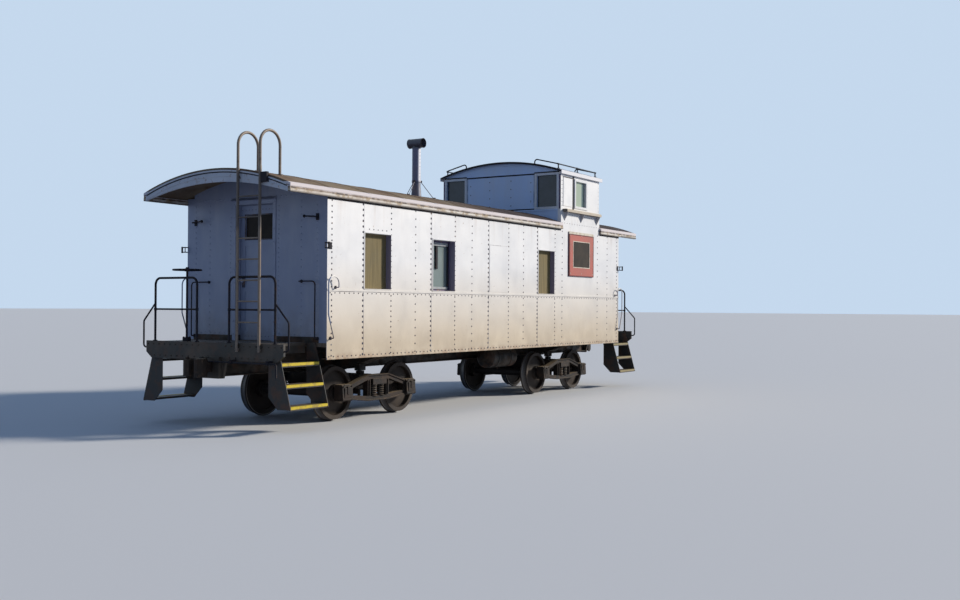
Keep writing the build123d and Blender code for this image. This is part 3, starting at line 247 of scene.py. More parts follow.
def vary_roughness(finish, mask, low, high):
    made = add_node(finish, "ShaderNodeMapRange", {"To Min": low, "To Max": high})
    join(finish, mask, made.inputs["Value"])
    join(finish, made.outputs["Result"], shader_input(finish, "Roughness"))


def dress(finish, *names):
    for name in names:
        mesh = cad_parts[name].data
        mesh.materials.clear()
        mesh.materials.append(finish)


frame_black = start_finish("frame_black", black_paint, 0.62, shine=0.25)
stain(frame_black, dark_rust, 0.8, 5.0, 0.50, 0.66)
stain(frame_black, dust, 0.45, 1.7, 0.42, 0.72, stretch=(1, 1, 2.5))
coat(frame_black, dust, 0.75, facing_up(frame_black))
vary_roughness(frame_black, patches(frame_black, 7.0), 0.5, 0.85)
grain(frame_black, 0.0015, 60.0, 0.2, 0.8, strength=0.6)
dress(frame_black, "centre_sill", "body_bolsters", "side_sills", "cross_bearers")

# Train pipe
# Wrought pipe that carries the brake air the length of the car, hung from the cross bearers
# in strap clips, with an angle cock at each end under the end sill.
pipe_radius = 0.021
pipe_y = 0.31
pipe_level = 0.93
pipe_reach = 5.97
hanger_places = (-4.3, -1.9, -0.64, 0.64, 1.9, 4.3)
hanger_top = 1.13
cock_radius = 0.034
cock_half = 0.06
fold_angle = math.radians(35)


def edges_of(made):
    return list({edge for vert in made["verts"] for edge in vert.link_edges})


def add_block(shape, place, edge):
    made = bmesh.ops.create_cube(shape, size=1, matrix=place)
    if edge:
        bmesh.ops.bevel(shape, geom=edges_of(made), offset=edge, offset_type="OFFSET", affect="EDGES",
                        segments=1, profile=0.5, material=-1)


def add_bar(shape, corner, opposite, edge=0.0015):
    low = Vector([min(pair) for pair in zip(corner, opposite)])
    high = Vector([max(pair) for pair in zip(corner, opposite)])
    add_block(shape, Matrix.Translation((low + high) / 2) @ Matrix.Diagonal((*(high - low), 1)), edge)


def pointing(middle, direction):
    return Matrix.Translation(middle) @ direction.to_track_quat("Z", "Y").to_matrix().to_4x4()


def add_rod(shape, start, end, radius, sides=12, end_radius=None):
    start, end = Vector(start), Vector(end)
    run = end - start
    bmesh.ops.create_cone(shape, cap_ends=True, cap_tris=False, segments=sides, radius1=radius,
                          radius2=end_radius or radius, depth=run.length,
                          matrix=pointing((start + end) / 2, run))


def add_upright(shape, x, y, low, high, radius, sides=12, top_radius=None):
    add_rod(shape, (x, y, low), (x, y, high), radius, sides, top_radius)


def make_piece(shape, name, body, finish, slot, *stands_for):
    mesh = bpy.data.meshes.new(name)
    shape.to_mesh(mesh)
    shape.free()
    mesh.materials.append(finish)
    mesh.shade_smooth()
    mesh.set_sharp_from_angle(angle=fold_angle)
    made = bpy.data.objects.new(name, mesh)
    bpy.context.scene.collection.objects.link(made)
    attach(made, body)
    if stands_for:
        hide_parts(*stands_for)


pipe = bmesh.new()
add_rod(pipe, (-pipe_reach, pipe_y, pipe_level), (pipe_reach, pipe_y, pipe_level), pipe_radius)
for place in hanger_places:
    add_rod(pipe, (place - 0.02, pipe_y, pipe_level), (place + 0.02, pipe_y, pipe_level),
            pipe_radius + 0.006)
    add_bar(pipe, (place - 0.015, pipe_y - 0.006, pipe_level), (place + 0.015, pipe_y + 0.006, hanger_top))
for end in (-1, 1):
    cock_x = end * (pipe_reach - cock_half)
    add_rod(pipe, (cock_x - end * cock_half, pipe_y, pipe_level),
            (cock_x + end * cock_half, pipe_y, pipe_level), cock_radius)
    add_upright(pipe, cock_x, pipe_y, pipe_level, pipe_level + 0.06, cock_radius * 0.6)
    add_bar(pipe, (cock_x - 0.012, pipe_y - 0.012, pipe_level + 0.055),
            (cock_x + 0.012, pipe_y + 0.11, pipe_level + 0.067))
make_piece(pipe, "train_pipe", "carbody", frame_black, "black_steel")

# Floor
# Softwood boards laid across the sills, worn and dusty where feet and boxes have scraped them.
board_width = 0.145
board_brown = (0.13, 0.085, 0.05)
board_grey = (0.24, 0.20, 0.16)

floor_boards = start_finish("floor_boards", board_brown, 0.7)
stain(floor_boards, board_grey, 0.7, 2.2, 0.4, 0.65, stretch=(1, 6, 1))
stain(floor_boards, dust, 0.5, 0.9, 0.45, 0.7)
plank_lines = add_node(floor_boards, "ShaderNodeTexWave", {"Scale": 1 / board_width / 2, "Distortion": 0.0},
                       wave_type="BANDS", bands_direction="Y", wave_profile="SIN")
join(floor_boards, object_place(floor_boards, (1, math.pi, 1)), plank_lines.inputs["Vector"])
plank_gaps = spread(floor_boards, plank_lines.outputs["Fac"], 0.0, 0.04)
relief(floor_boards, plank_gaps, 0.004)
grain(floor_boards, 0.0012, 14.0, stretch=(1, 9, 1))
dress(floor_boards, "floor")

# Platforms
# Chequered steel deck plate on the sill ends, and a heavy pressed end sill with its buffer block.
# The paint has gone from the raised pattern where crews walk, and the sill face carries two rows of rivets.
corners = ((-1, -1), (-1, 1), (1, -1), (1, 1))
tread_pitch = 0.045
worn_steel = (0.21, 0.19, 0.17)
sill_face = 5.89
sill_rows = ((0.28, 1.36, 1.215), (0.36, 1.22, 1.045))
rivet_radius = 0.0145
rivet_height = 0.007


def chequered(finish, stretch):
    # the raised lozenges on the upper face of a rolled plate
    lozenges = add_node(finish, "ShaderNodeTexVoronoi", {"Scale": 1 / tread_pitch, "Randomness": 0.0})
    join(finish, object_place(finish, stretch), lozenges.inputs["Vector"])
    return both(finish, spread(finish, lozenges.outputs["Distance"], 0.36, 0.24), facing_up(finish))


def rivet_line(target, first, last, pitch, outward, radius=rivet_radius, height=rivet_height):
    first, last, outward = Vector(first), Vector(last), Vector(outward)
    count = max(1, round((last - first).length / pitch))
    row = bmesh.new()
    bmesh.ops.create_cone(row, cap_ends=True, cap_tris=False, segments=8, radius1=radius,
                          radius2=radius * 0.55, depth=height,
                          matrix=pointing(first + outward * height / 2, outward))
    bmesh.ops.spin(row, geom=row.verts[:] + row.edges[:] + row.faces[:], cent=(0, 0, 0), axis=(0, 0, 1),
                   dvec=(last - first) / count, angle=0, steps=count, use_merge=False, use_duplicate=True)
    held = bpy.data.meshes.new("rivet_row")
    row.to_mesh(held)
    row.free()
    target.from_mesh(held)
    bpy.data.meshes.remove(held)


deck_plate = start_finish("deck_plate", black_paint, 0.6)
deck_raised = chequered(deck_plate, (1, 2.2, 0))
coat(deck_plate, worn_steel, 0.8, deck_raised)
stain(deck_plate, dark_rust, 0.7, 4.0, 0.5, 0.68)
stain(deck_plate, dust, 0.6, 1.3, 0.45, 0.75)
relief(deck_plate, deck_raised, 0.002)
dress(deck_plate, "platforms")

sill_rivets = bmesh.new()
for end, side in corners:
    for first_y, last_y, level in sill_rows:
        rivet_line(sill_rivets, (end * sill_face, side * first_y, level),
                   (end * sill_face, side * last_y, level), 0.12, (end, 0, 0))
make_piece(sill_rivets, "end_sill_rivets", "carbody", frame_black, "black_steel")

# Steps
# Pressed treads between two slanting side plates, riveted up and hung under each corner.
# A folded yellow edge runs along every tread so that trainmen see it at night; the far ones are dusty.
step_yellow = (0.68, 0.50, 0.015)
yellow_rows = ((1.3270, 0.985), (1.4110, 0.685), (1.4950, 0.385))
yellow_start = 5.052
yellow_end = 5.838
yellow_drop = 0.036


def along(finish, axis, low, high):
    return part_of(finish, object_place(finish), axis, low, high)


step_plate = start_finish("step_plate", (0.028, 0.026, 0.024), 0.65)
step_raised = chequered(step_plate, (2.2, 1, 0))
coat(step_plate, worn_steel, 0.8, step_raised)
stain(step_plate, dark_rust, 0.75, 6.0, 0.48, 0.64)
coat(step_plate, dust, 0.45, facing_up(step_plate))
relief(step_plate, step_raised, 0.002)
dress(step_plate, "steps")

step_paint = start_finish("step_paint", step_yellow, 0.5)
stain(step_paint, (0.30, 0.21, 0.05), 0.7, 9.0, 0.5, 0.62)
stain(step_paint, black_paint, 0.8, 22.0, 0.60, 0.68, shift=(3, 1, 0))
coat(step_paint, (0.25, 0.20, 0.12), 0.85, along(step_paint, "X", 0.0, 0.1))
grain(step_paint, 0.001, 40.0)
step_edges = bmesh.new()
for end, side in corners:
    for reach, level in yellow_rows:
        add_bar(step_edges, (end * yellow_start, side * (reach - 0.002), level - yellow_drop),
                (end * yellow_end, side * (reach + 0.004), level + 0.003))
        add_bar(step_edges, (end * yellow_start, side * (reach - 0.045), level - 0.001),
                (end * yellow_end, side * (reach + 0.004), level + 0.004))
make_piece(step_edges, "step_edges", "carbody", step_paint, "step_steel")

# Body sides
# Steel sheets lapped on posts and riveted in close columns, painted aluminium silver.
# Rain has carried rust down from the eaves and splashed dirt over the foot of the sheets.
# A plate closes an opening that once held a fourth window.
silver = (0.80, 0.785, 0.765)
silver_shadow = (0.56, 0.55, 0.55)
# a painted cool shade for the faces of the ends that are not turned to the far end
end_painted_shade = (0.29, 0.325, 0.43)
rust_stain = (0.34, 0.20, 0.11)
warm_dust = (0.64, 0.51, 0.335)
splash_brown = (0.42, 0.33, 0.23)
wall_face = 1.45
sheet_foot = 1.022
sheet_head = 3.385
belt_low = 2.020
belt_high = 2.056
belt_proud = 0.007
belt_reach = 5.028
foot_low = 1.016
foot_high = 1.050
seam_width = 0.005
seam_proud = 0.0015
seam_offset = 0.018
lap_rivet_radius = 0.020
small_rivet_radius = 0.011
# rivet columns from end a to end b: place, spacing of the rivets, and whether a sheet ends there
columns = (
    (-4.9265, 0.082, False),
    (-4.1935, 0.082, True),
    (-3.4805, 0.082, False),
    (-2.8215, 0.124, False),
    (-2.3815, 0.082, True),
    (-1.6525, 0.082, False),
    (-1.1095, 0.124, False),
    (-0.5565, 0.082, True),
    (0.1635, 0.082, False),
    (0.7205, 0.124, False),
    (1.2645, 0.078, True),
    (1.9945, 0.082, False),
    (2.3055, 0.124, False),
    (3.9400, 0.124, False),
    (4.4300, 0.124, False),
    (4.9285, 0.082, False),
)
window_middles = (-3.822, -1.992, 1.638)
plated_opening = (-0.518, 0.128, 2.075, 2.925)
# level rows along each side: both ends, height, spacing and size, the last a short one over the first window
side_rows = (
    (-4.96, 4.96, belt_low - 0.024, 0.110, small_rivet_radius),
    (-4.98, 4.98, sheet_foot + 0.035, 0.105, rivet_radius),
    (window_middles[0] - 0.22, window_middles[0] + 0.22, 2.985, 0.110, small_rivet_radius),
)


def silver_coats(finish, streaks=True):
    stain(finish, silver_shadow, 0.30, 0.9, 0.42, 0.78, stretch=(1, 1, 0.6))
    stain(finish, silver_shadow, 0.28, 4.0, 0.50, 0.80, detail=8.0, stretch=(1, 1, 0.25))
    if streaks:
        below_eave = along(finish, "Z", 2.7, 3.42)
        run = patches(finish, 7.0, 0.56, 0.72, detail=6.0, stretch=(1, 1, 0.06))
        coat(finish, rust_stain, 0.28, run, below_eave, below_eave)
        coat(finish, warm_dust, 0.85, along(finish, "Z", 2.55, 1.2))
        coat(finish, splash_brown, 0.6, along(finish, "Z", 1.70, 1.0),
             patches(finish, 3.0, 0.30, 0.62, detail=8.0, stretch=(1, 1, 0.7)))
        coat(finish, rust_stain, 0.8, along(finish, "Z", 1.12, 1.0), patches(finish, 9.0, 0.4, 0.6))
    stain(finish, rust_stain, 0.75, 26.0, 0.70, 0.76, detail=3.0)
    vary_roughness(finish, patches(finish, 3.0, 0.3, 0.7), 0.38, 0.56)
    grain(finish, 0.006, 1.6, 0.2, 0.8, strength=0.5, detail=2.0)
    grain(finish, 0.0004, 90.0, 0.2, 0.8, strength=0.6, detail=2.0)


silver_sheet = start_finish("silver_sheet", silver, 0.45, 0.12)
silver_coats(silver_sheet)
# painted cool shade on the near end edges of the side sheets
coat(silver_sheet, end_painted_shade, 1.0, along(silver_sheet, "X", -5.0285, -5.0295))
# painted purple shade on the jambs of the window openings that face the near end
coat(silver_sheet, (0.150, 0.125, 0.225), 0.85, facing(silver_sheet, "X", -0.5, -0.9),
     along(silver_sheet, "X", -5.02, -5.01))
dress(silver_sheet, "side_wall_left", "side_wall_right", "side_grabs")

# the rivet heads are dark partly with dirt and partly with painted shade round each head
rivet_grey = start_finish("rivet_grey", (0.085, 0.078, 0.098), 0.6, shine=0.25)
stain(rivet_grey, (0.40, 0.40, 0.40), 0.7, 2.0, 0.52, 0.66)
stain(rivet_grey, rust_stain, 0.5, 12.0, 0.54, 0.64, shift=(5, 2, 1))
# the joint strips are dark partly with dirt and partly with painted shade of the lapped sheet edges
seam_dark = start_finish("seam_dark", (0.16, 0.14, 0.15), 0.75, shine=0.25)
stain(seam_dark, silver, 0.75, 6.0, 0.42, 0.56, stretch=(1, 1, 0.5))
for side, side_name in ((-1, "right"), (1, "left")):
    face = side * wall_face
    seam_face = side * (wall_face + seam_proud)
    outward = (0, side, 0)
    rivets = bmesh.new()
    seams = bmesh.new()
    for place, pitch, sheet_ends in columns:
        radius = lap_rivet_radius if sheet_ends else rivet_radius
        for low, high in ((sheet_foot + 0.05, belt_low - 0.05), (belt_high + 0.03, sheet_head - 0.03)):
            rivet_line(rivets, (place, face, low), (place, face, high), pitch, outward, radius)
        if sheet_ends:
            seam_x = place + seam_offset
            for low, high in ((sheet_foot, belt_low), (belt_high, sheet_head)):
                add_bar(seams, (seam_x, face, low), (seam_x + seam_width, seam_face, high), 0)
    for first_x, last_x, level, pitch, radius in side_rows:
        rivet_line(rivets, (first_x, face, level), (last_x, face, level), pitch, outward, radius)
    make_piece(rivets, f"side_rivets_{side_name}", "carbody", rivet_grey, "silver_steel")

    # the belt under the windows is a flat bar, and a folded angle stiffens the foot of the sheet
    belt = bmesh.new()
    add_bar(belt, (-belt_reach, face - side * 0.002, belt_low),
            (belt_reach, face + side * belt_proud, belt_high), 0.002)
    make_piece(belt, f"side_belt_{side_name}", "carbody", silver_sheet, "silver_steel")
    add_bar(seams, (-5.0, face, belt_low - 0.006), (5.0, seam_face, belt_low), 0)
    low_x, high_x, low_z, high_z = plated_opening
    plate = bmesh.new()
    add_bar(plate, (low_x, face - side * 0.001, low_z), (high_x, face + side * 0.004, high_z))
    make_piece(plate, f"window_plate_{side_name}", "carbody", silver_sheet, "silver_steel")
    add_bar(seams, (low_x, face, high_z), (high_x, seam_face, high_z + 0.007), 0)
    foot = bmesh.new()
    add_bar(foot, (-5.03, face - side * 0.002, foot_low), (5.03, face + side * 0.006, foot_high), 0.002)
    make_piece(foot, f"sheet_foot_{side_name}", "carbody", silver_sheet, "silver_steel")
    make_piece(seams, f"side_seams_{side_name}", "carbody", seam_dark, "silver_steel")
    # a painted shadow under the eave boards, broken where the side runs up past the roof
    eave_shadows = bmesh.new()
    for low_x, high_x in ((-5.03, 2.25), (4.028, 5.03)):
        add_bar(eave_shadows, (low_x, face, 3.366), (high_x, seam_face, 3.392), 0)
    make_piece(eave_shadows, f"eave_shadow_{side_name}", "carbody", frame_black, "silver_steel")

# End walls and door casings
# The ends are flat sheet between corner posts, with an angle-iron casing and a small hood at the door.
# They carry a painted cool shade on every face not turned to the far end, as if in the shade of the roof,
# and a black kick band runs round their foot.
far_silver = (0.62, 0.63, 0.65)
grime = (0.20, 0.17, 0.14)
end_face = 5.03
kick_low = 1.262
kick_top = 1.345
lamp_arm_level = 3.11
lamp_tip_level = lamp_arm_level + 0.012
# rivet rows of each half end: how far out, first place and height, last place and height, spacing
end_rows = (
    (0.0, 0.50, 1.40, 0.50, 3.30, 0.07),
    (0.0, 0.95, 1.40, 0.95, 3.36, 0.10),
    (0.0, 1.26, 1.40, 1.26, 3.36, 0.08),
    (0.0, 0.52, kick_top + 0.03, 1.24, kick_top + 0.03, 0.10),
    (0.012, 0.415, 1.36, 0.415, 3.36, 0.20),
)


def end_finish(name, painted_shade_colour, far_colour, roughness):
    # a painted cool shade on every face not turned to the far end, and the plain paler colour on faces
    # turned to it
    finish = start_finish(name, painted_shade_colour, roughness, 0.12)
    coat(finish, far_colour, 1.0, facing(finish, "X", 0.3, 0.8))
    silver_coats(finish, False)
    return finish


end_sheet = end_finish("end_sheet", end_painted_shade, far_silver, 0.5)
coat(end_sheet, grime, 0.5, along(end_sheet, "Z", 1.9, 1.3), patches(end_sheet, 3.5, 0.35, 0.65))
coat(end_sheet, (0.045, 0.042, 0.040), 1.0, along(end_sheet, "Z", kick_top + 0.004, kick_top - 0.004))
dress(end_sheet, "end_walls")
casing_sheet = end_finish("casing_sheet", end_painted_shade, far_silver, 0.5)
dress(casing_sheet, "door_casings", "hinge_leaves")

end_rivets = bmesh.new()
kick_band = bmesh.new()
lamp_arms = bmesh.new()
for end, side in corners:
    for proud, first_y, first_z, last_y, last_z, pitch in end_rows:
        rivet_x = end * (end_face + proud)
        rivet_line(end_rivets, (rivet_x, side * first_y, first_z), (rivet_x, side * last_y, last_z), pitch,
                   (end, 0, 0))
    add_bar(kick_band, (end * (end_face - 0.002), side * 0.447, kick_low),
            (end * (end_face + 0.006), side * 1.29, kick_top), 0.002)
    # a square plate, a short stud and a cross arm with a ball at its tip
    arm_x = end * (end_face + 0.070)
    add_bar(lamp_arms, (end * end_face, side * 1.235, lamp_arm_level - 0.05),
            (end * (end_face + 0.008), side * 1.295, lamp_arm_level + 0.05))
    add_rod(lamp_arms, (end * end_face, side * 1.265, lamp_arm_level),
            (end * (end_face + 0.075), side * 1.265, lamp_arm_level), 0.011)
    add_rod(lamp_arms, (arm_x, side * 1.275, lamp_arm_level), (arm_x, side * 1.075, lamp_tip_level), 0.011)
    bmesh.ops.create_uvsphere(lamp_arms, u_segments=12, v_segments=8, radius=0.024,
                              matrix=Matrix.Translation((arm_x, side * 1.065, lamp_tip_level)))
for end in (-1, 1):
    rivet_line(end_rivets, (end * end_face, -1.24, 3.45), (end * end_face, 1.24, 3.45), 0.10, (end, 0, 0))
make_piece(end_rivets, "end_rivets", "carbody", end_sheet, "silver_steel")
make_piece(kick_band, "kick_bands", "carbody", frame_black, "black_steel")
iron_dark = start_finish("iron_dark", (0.018, 0.017, 0.022), 0.55, shine=0.12)
stain(iron_dark, dark_rust, 0.7, 14.0, 0.54, 0.66)
stain(iron_dark, (0.050, 0.048, 0.055), 0.5, 3.0, 0.45, 0.7)
grain(iron_dark, 0.0006, 70.0, detail=2.0)
make_piece(lamp_arms, "lamp_arms", "carbody", iron_dark, "dark_rail")

# End doors
# Pressed steel doors hung inside the end walls, with two sunk panels and a light of glass at the top.
# A bright bead holds the glass, a lock plate backs the knob, and a handle crosses the upper panel.
door_face = 4.925
bead_bars = (
    (-0.298, -0.280, 2.812, 3.213),
    (0.280, 0.298, 2.812, 3.213),
    (-0.280, 0.280, 2.812, 2.830),
    (-0.280, 0.280, 3.195, 3.213),
)

# door a at the near end keeps the painted cool shade; door b takes the plain paler colour
door_sheet = start_finish("door_sheet", end_painted_shade, 0.48, 0.12)
coat(door_sheet, far_silver, 1.0, along(door_sheet, "X", 0.0, 0.1))
silver_coats(door_sheet, False)
coat(door_sheet, grime, 0.6, along(door_sheet, "Z", 1.75, 1.25), patches(door_sheet, 4.0, 0.35, 0.6))
dress(door_sheet, "door_a", "door_b")
door_pane = start_finish("door_pane", (0.022, 0.016, 0.013), 0.25, shine=0.08)
stain(door_pane, (0.060, 0.043, 0.030), 0.6, 3.0, 0.45, 0.70)
dress(door_pane, "door_a_glass", "door_b_glass")
for end, name in ((-1, "a"), (1, "b")):
    trim = bmesh.new()
    for low_y, high_y, low_z, high_z in bead_bars:
        add_bar(trim, (end * (door_face - 0.002), low_y, low_z),
                (end * (door_face + 0.007), high_y, high_z), 0.002)
    knob_y = -end * 0.32
    add_bar(trim, (end * (door_face - 0.001), knob_y - 0.032, 2.08),
            (end * (door_face + 0.005), knob_y + 0.032, 2.26), 0.002)
    for level in (1.33, 3.28):
        rivet_line(trim, (end * door_face, -0.35, level), (end * door_face, 0.35, level), 0.07, (end, 0, 0),
                   0.008, 0.004)
    make_piece(trim, f"door_{name}_trim", f"door_{name}", rivet_grey, "silver_steel")

# Windows
# Sashes once slid in these steel-lined openings; most are now closed with plywood screwed to the frame.
# The one left glazed has a grey sash with dark fittings, and a thin moulding and a sill frame each opening.
plywood = (0.225, 0.170, 0.070)
plywood_dark = (0.120, 0.090, 0.034)
glass_green = (0.30, 0.37, 0.34)
glazed_middle = -1.992
# left, right, foot and head of each bar, from the opening's middle, and the dark far stile and catch apart
sash_bars = ((-0.296, -0.262, 2.099, 2.891), (-0.262, 0.262, 2.099, 2.139), (-0.262, 0.262, 2.835, 2.891))
lift_bars = ((0.262, 0.296, 2.099, 2.891), (-0.090, -0.035, 2.440, 2.835))
surround_bars = ((-0.352, -0.330, 2.068, 2.947), (0.330, 0.352, 2.068, 2.947), (-0.330, 0.330, 2.925, 2.947))

weathered_ply = start_finish("weathered_ply", plywood, 0.8)
stain(weathered_ply, plywood_dark, 0.75, 5.0, 0.38, 0.68, detail=8.0, stretch=(5, 1, 0.35))
stain(weathered_ply, (0.155, 0.140, 0.085), 0.55, 1.6, 0.42, 0.7)
grain(weathered_ply, 0.001, 20.0, stretch=(5, 1, 0.3))
dress(weathered_ply, "window_boards")
# the steel linings of the openings are painted in dark purple shade, with rust spots
reveal_painted_shade = start_finish("reveal_painted_shade", (0.105, 0.080, 0.155), 0.6, shine=0.25)
stain(reveal_painted_shade, rust_stain, 0.6, 8.0, 0.55, 0.66)
dress(reveal_painted_shade, "window_frames")
pane = start_finish("pane", glass_green, 0.12)
stain(pane, (0.46, 0.50, 0.45), 0.5, 2.0, 0.35, 0.75)
shader_input(pane, "Transmission Weight").default_value = 0.35
dress(pane, "window_glass")

sash = bmesh.new()
lifts = bmesh.new()
screws = bmesh.new()
surrounds = bmesh.new()
for side in (-1, 1):
    for middle in window_middles:
        if middle == glazed_middle:
            for shape, bars in ((sash, sash_bars), (lifts, lift_bars)):
                for low_x, high_x, low_z, high_z in bars:
                    add_bar(shape, (middle + low_x, side * 1.325, low_z),
                            (middle + high_x, side * 1.347, high_z), 0.002)
        else:
            for place in (middle - 0.295, middle + 0.295):
                rivet_line(screws, (place, side * 1.354, 2.10), (place, side * 1.354, 2.89), 0.158,
                           (0, side, 0), 0.007, 0.003)
        add_bar(surrounds, (middle - 0.345, side * 1.340, belt_high),
                (middle + 0.345, side * 1.462, belt_high + 0.012), 0.002)
        for low_x, high_x, low_z, high_z in surround_bars:
            add_bar(surrounds, (middle + low_x, side * 1.449, low_z),
                    (middle + high_x, side * 1.456, high_z))
sash_paint = start_finish("sash_paint", (0.34, 0.36, 0.37), 0.55)
stain(sash_paint, grime, 0.5, 6.0, 0.45, 0.65)
make_piece(sash, "window_sashes", "carbody", sash_paint, "silver_steel")
make_piece(lifts, "window_lifts", "carbody", iron_dark, "dark_rail")
make_piece(screws, "board_screws", "carbody", rivet_grey, "silver_steel")
make_piece(surrounds, "window_surrounds", "carbody", silver_sheet, "silver_steel")

# Placard
# A flat enamelled board screwed to the right side: a salmon border, a thin cream line and a charcoal field.
# The field is left blank.
placard_face = -1.472
salmon = (0.52, 0.115, 0.072)
cream = (0.72, 0.66, 0.52)
charcoal = (0.040, 0.033, 0.026)
# left, right, foot and head of each bar; the last cream one is the band along the top
cream_bars = (
    (2.752, 2.768, 2.628, 3.184),
    (3.510, 3.526, 2.628, 3.184),
    (2.768, 3.510, 2.628, 2.644),
    (2.768, 3.510, 3.168, 3.184),
    (2.572, 3.706, 3.322, 3.372),
)
rim_bars = (
    (2.572, 2.610, 2.448, 3.322),
    (3.688, 3.706, 2.448, 3.322),
    (2.610, 3.688, 2.448, 2.466),
    (2.610, 3.688, 3.304, 3.322),
)

sign_enamel = start_finish("sign_enamel", salmon, 0.42)
stain(sign_enamel, (0.33, 0.12, 0.085), 0.6, 3.0, 0.42, 0.7, detail=7.0)
stain(sign_enamel, cream, 0.6, 30.0, 0.66, 0.72)
grain(sign_enamel, 0.0004, 50.0)
dress(sign_enamel, "side_placard")
sign_charcoal = start_finish("sign_charcoal", charcoal, 0.6, shine=0.1)
stain(sign_charcoal, (0.085, 0.065, 0.045), 0.6, 4.0, 0.42, 0.7, detail=7.0)
stain(sign_charcoal, (0.20, 0.17, 0.13), 0.5, 40.0, 0.66, 0.74)
field = bmesh.new()
add_bar(field, (2.766, placard_face + 0.006, 2.642), (3.512, placard_face + 0.010, 3.170), 0.001)
make_piece(field, "placard_field", "carbody", sign_charcoal, "sign_board")
sign_cream = start_finish("sign_cream", cream, 0.5)
stain(sign_cream, (0.42, 0.31, 0.20), 0.6, 9.0, 0.46, 0.62)
line = bmesh.new()
for low_x, high_x, low_z, high_z in cream_bars:
    add_bar(line, (low_x, placard_face - 0.002, low_z), (high_x, placard_face + 0.010, high_z), 0.001)
for place_x in (2.635, 3.139, 3.643):
    for place_z in (2.51, 3.30):
        add_rod(line, (place_x, placard_face + 0.001, place_z), (place_x, placard_face - 0.004, place_z),
                0.011, 8)
make_piece(line, "placard_line", "carbody", sign_cream, "sign_board")
sign_edge = start_finish("sign_edge", (0.17, 0.032, 0.024), 0.5, shine=0.25)
stain(sign_edge, (0.08, 0.035, 0.025), 0.6, 12.0, 0.45, 0.6)
rim = bmesh.new()
for low_x, high_x, low_z, high_z in rim_bars:
    add_bar(rim, (low_x, placard_face - 0.004, low_z), (high_x, placard_face + 0.020, high_z), 0.001)
make_piece(rim, "placard_rim", "carbody", sign_edge, "sign_board")

# Main roof
# Curved sheets laid side to side over the carlines and lapped under riveted cover strips.
# The paint has weathered to brown, with bare rust where water stands along the strips.
roof_brown = (0.205, 0.135, 0.085)
roof_rust = (0.120, 0.060, 0.030)
roof_pale = (0.42, 0.36, 0.23)
board_pink = (0.94, 0.85, 0.82)
roof_crown = 3.805
roof_eave = 3.515
roof_half = 1.5
roof_curve = (roof_half ** 2 + (roof_crown - roof_eave) ** 2) / (2 * (roof_crown - roof_eave))
strip_half = 0.028
strip_proud = 0.005
roof_lengths = ((-5.88, 2.250, 9), (4.028, 5.88, 2))


def add_arch(shape, x_low, x_high, crown, curve, low, high, half_chord, steps=28):
    # a band of the arch between two radii, turned about the centre of the roof's curve
    centre = Vector((0, 0, crown - curve))
    angle = math.asin(half_chord / curve)
    turn = Matrix.Rotation(angle, 4, "X")
    verts = [shape.verts.new(centre + turn @ Vector((x, 0, curve + rise)))
             for x, rise in ((x_low, low), (x_high, low), (x_high, high), (x_low, high))]
    bmesh.ops.spin(shape, geom=[shape.faces.new(verts)], cent=centre, axis=(1, 0, 0), angle=-2 * angle,
                   steps=steps, use_merge=False, use_duplicate=False)


def close_ends(shape, sides):
    bmesh.ops.holes_fill(shape, edges=shape.edges, sides=sides)
    bmesh.ops.recalc_face_normals(shape, faces=shape.faces)


roof_sheet = start_finish("roof_sheet", roof_brown, 0.75, shine=0.1)
stain(roof_sheet, roof_pale, 0.5, 1.1, 0.40, 0.72, detail=7.0)
stain(roof_sheet, roof_rust, 0.8, 3.2, 0.50, 0.68, detail=8.0)
stain(roof_sheet, (0.16, 0.14, 0.12), 0.5, 12.0, 0.56, 0.70)
grain(roof_sheet, 0.006, 2.0, 0.2, 0.8, strength=0.5, detail=2.0)
grain(roof_sheet, 0.001, 50.0)
coat(roof_sheet, board_pink, 0.9, along(roof_sheet, "Z", 3.540, 3.532), facing_up(roof_sheet, -0.6, -0.2))
# painted cupola shadow: the upward faces of the roof darken from before the middle of the car to the far end
coat(roof_sheet, (0.028, 0.022, 0.030), 0.8, along(roof_sheet, "X", -2.4, 0.2),
     facing_up(roof_sheet, 0.1, 0.4), along(roof_sheet, "Z", 3.536, 3.542))
dress(roof_sheet, "main_roof")

strips = bmesh.new()
for start, end, bays in roof_lengths:
    for bay in range(1, bays):
        place = start + (end - start) * bay / bays
        add_arch(strips, place - strip_half, place + strip_half, roof_crown, roof_curve, -0.001, strip_proud,
                 1.495)
close_ends(strips, 4)
make_piece(strips, "roof_strips", "carbody", roof_sheet, "roof_steel")

# Eave and end boards
# Two steel boards, one lapped over the other, close the gap under the roof sheet along each side,
# and an arched board closes each end. Cream over old pink paint, rusty along the lap, with painted shade
# along the lower edge.
board_cream = (0.74, 0.68, 0.58)
lap_level = 3.461
lower_edge_shade_level = 3.411
# the end boards: how far out, and both heights from the roof's curve
lip_bands = ((5.889, -0.052, -0.030), (5.889, -0.125, -0.105))
lap_bands = ((5.883, -0.070, -0.054),)

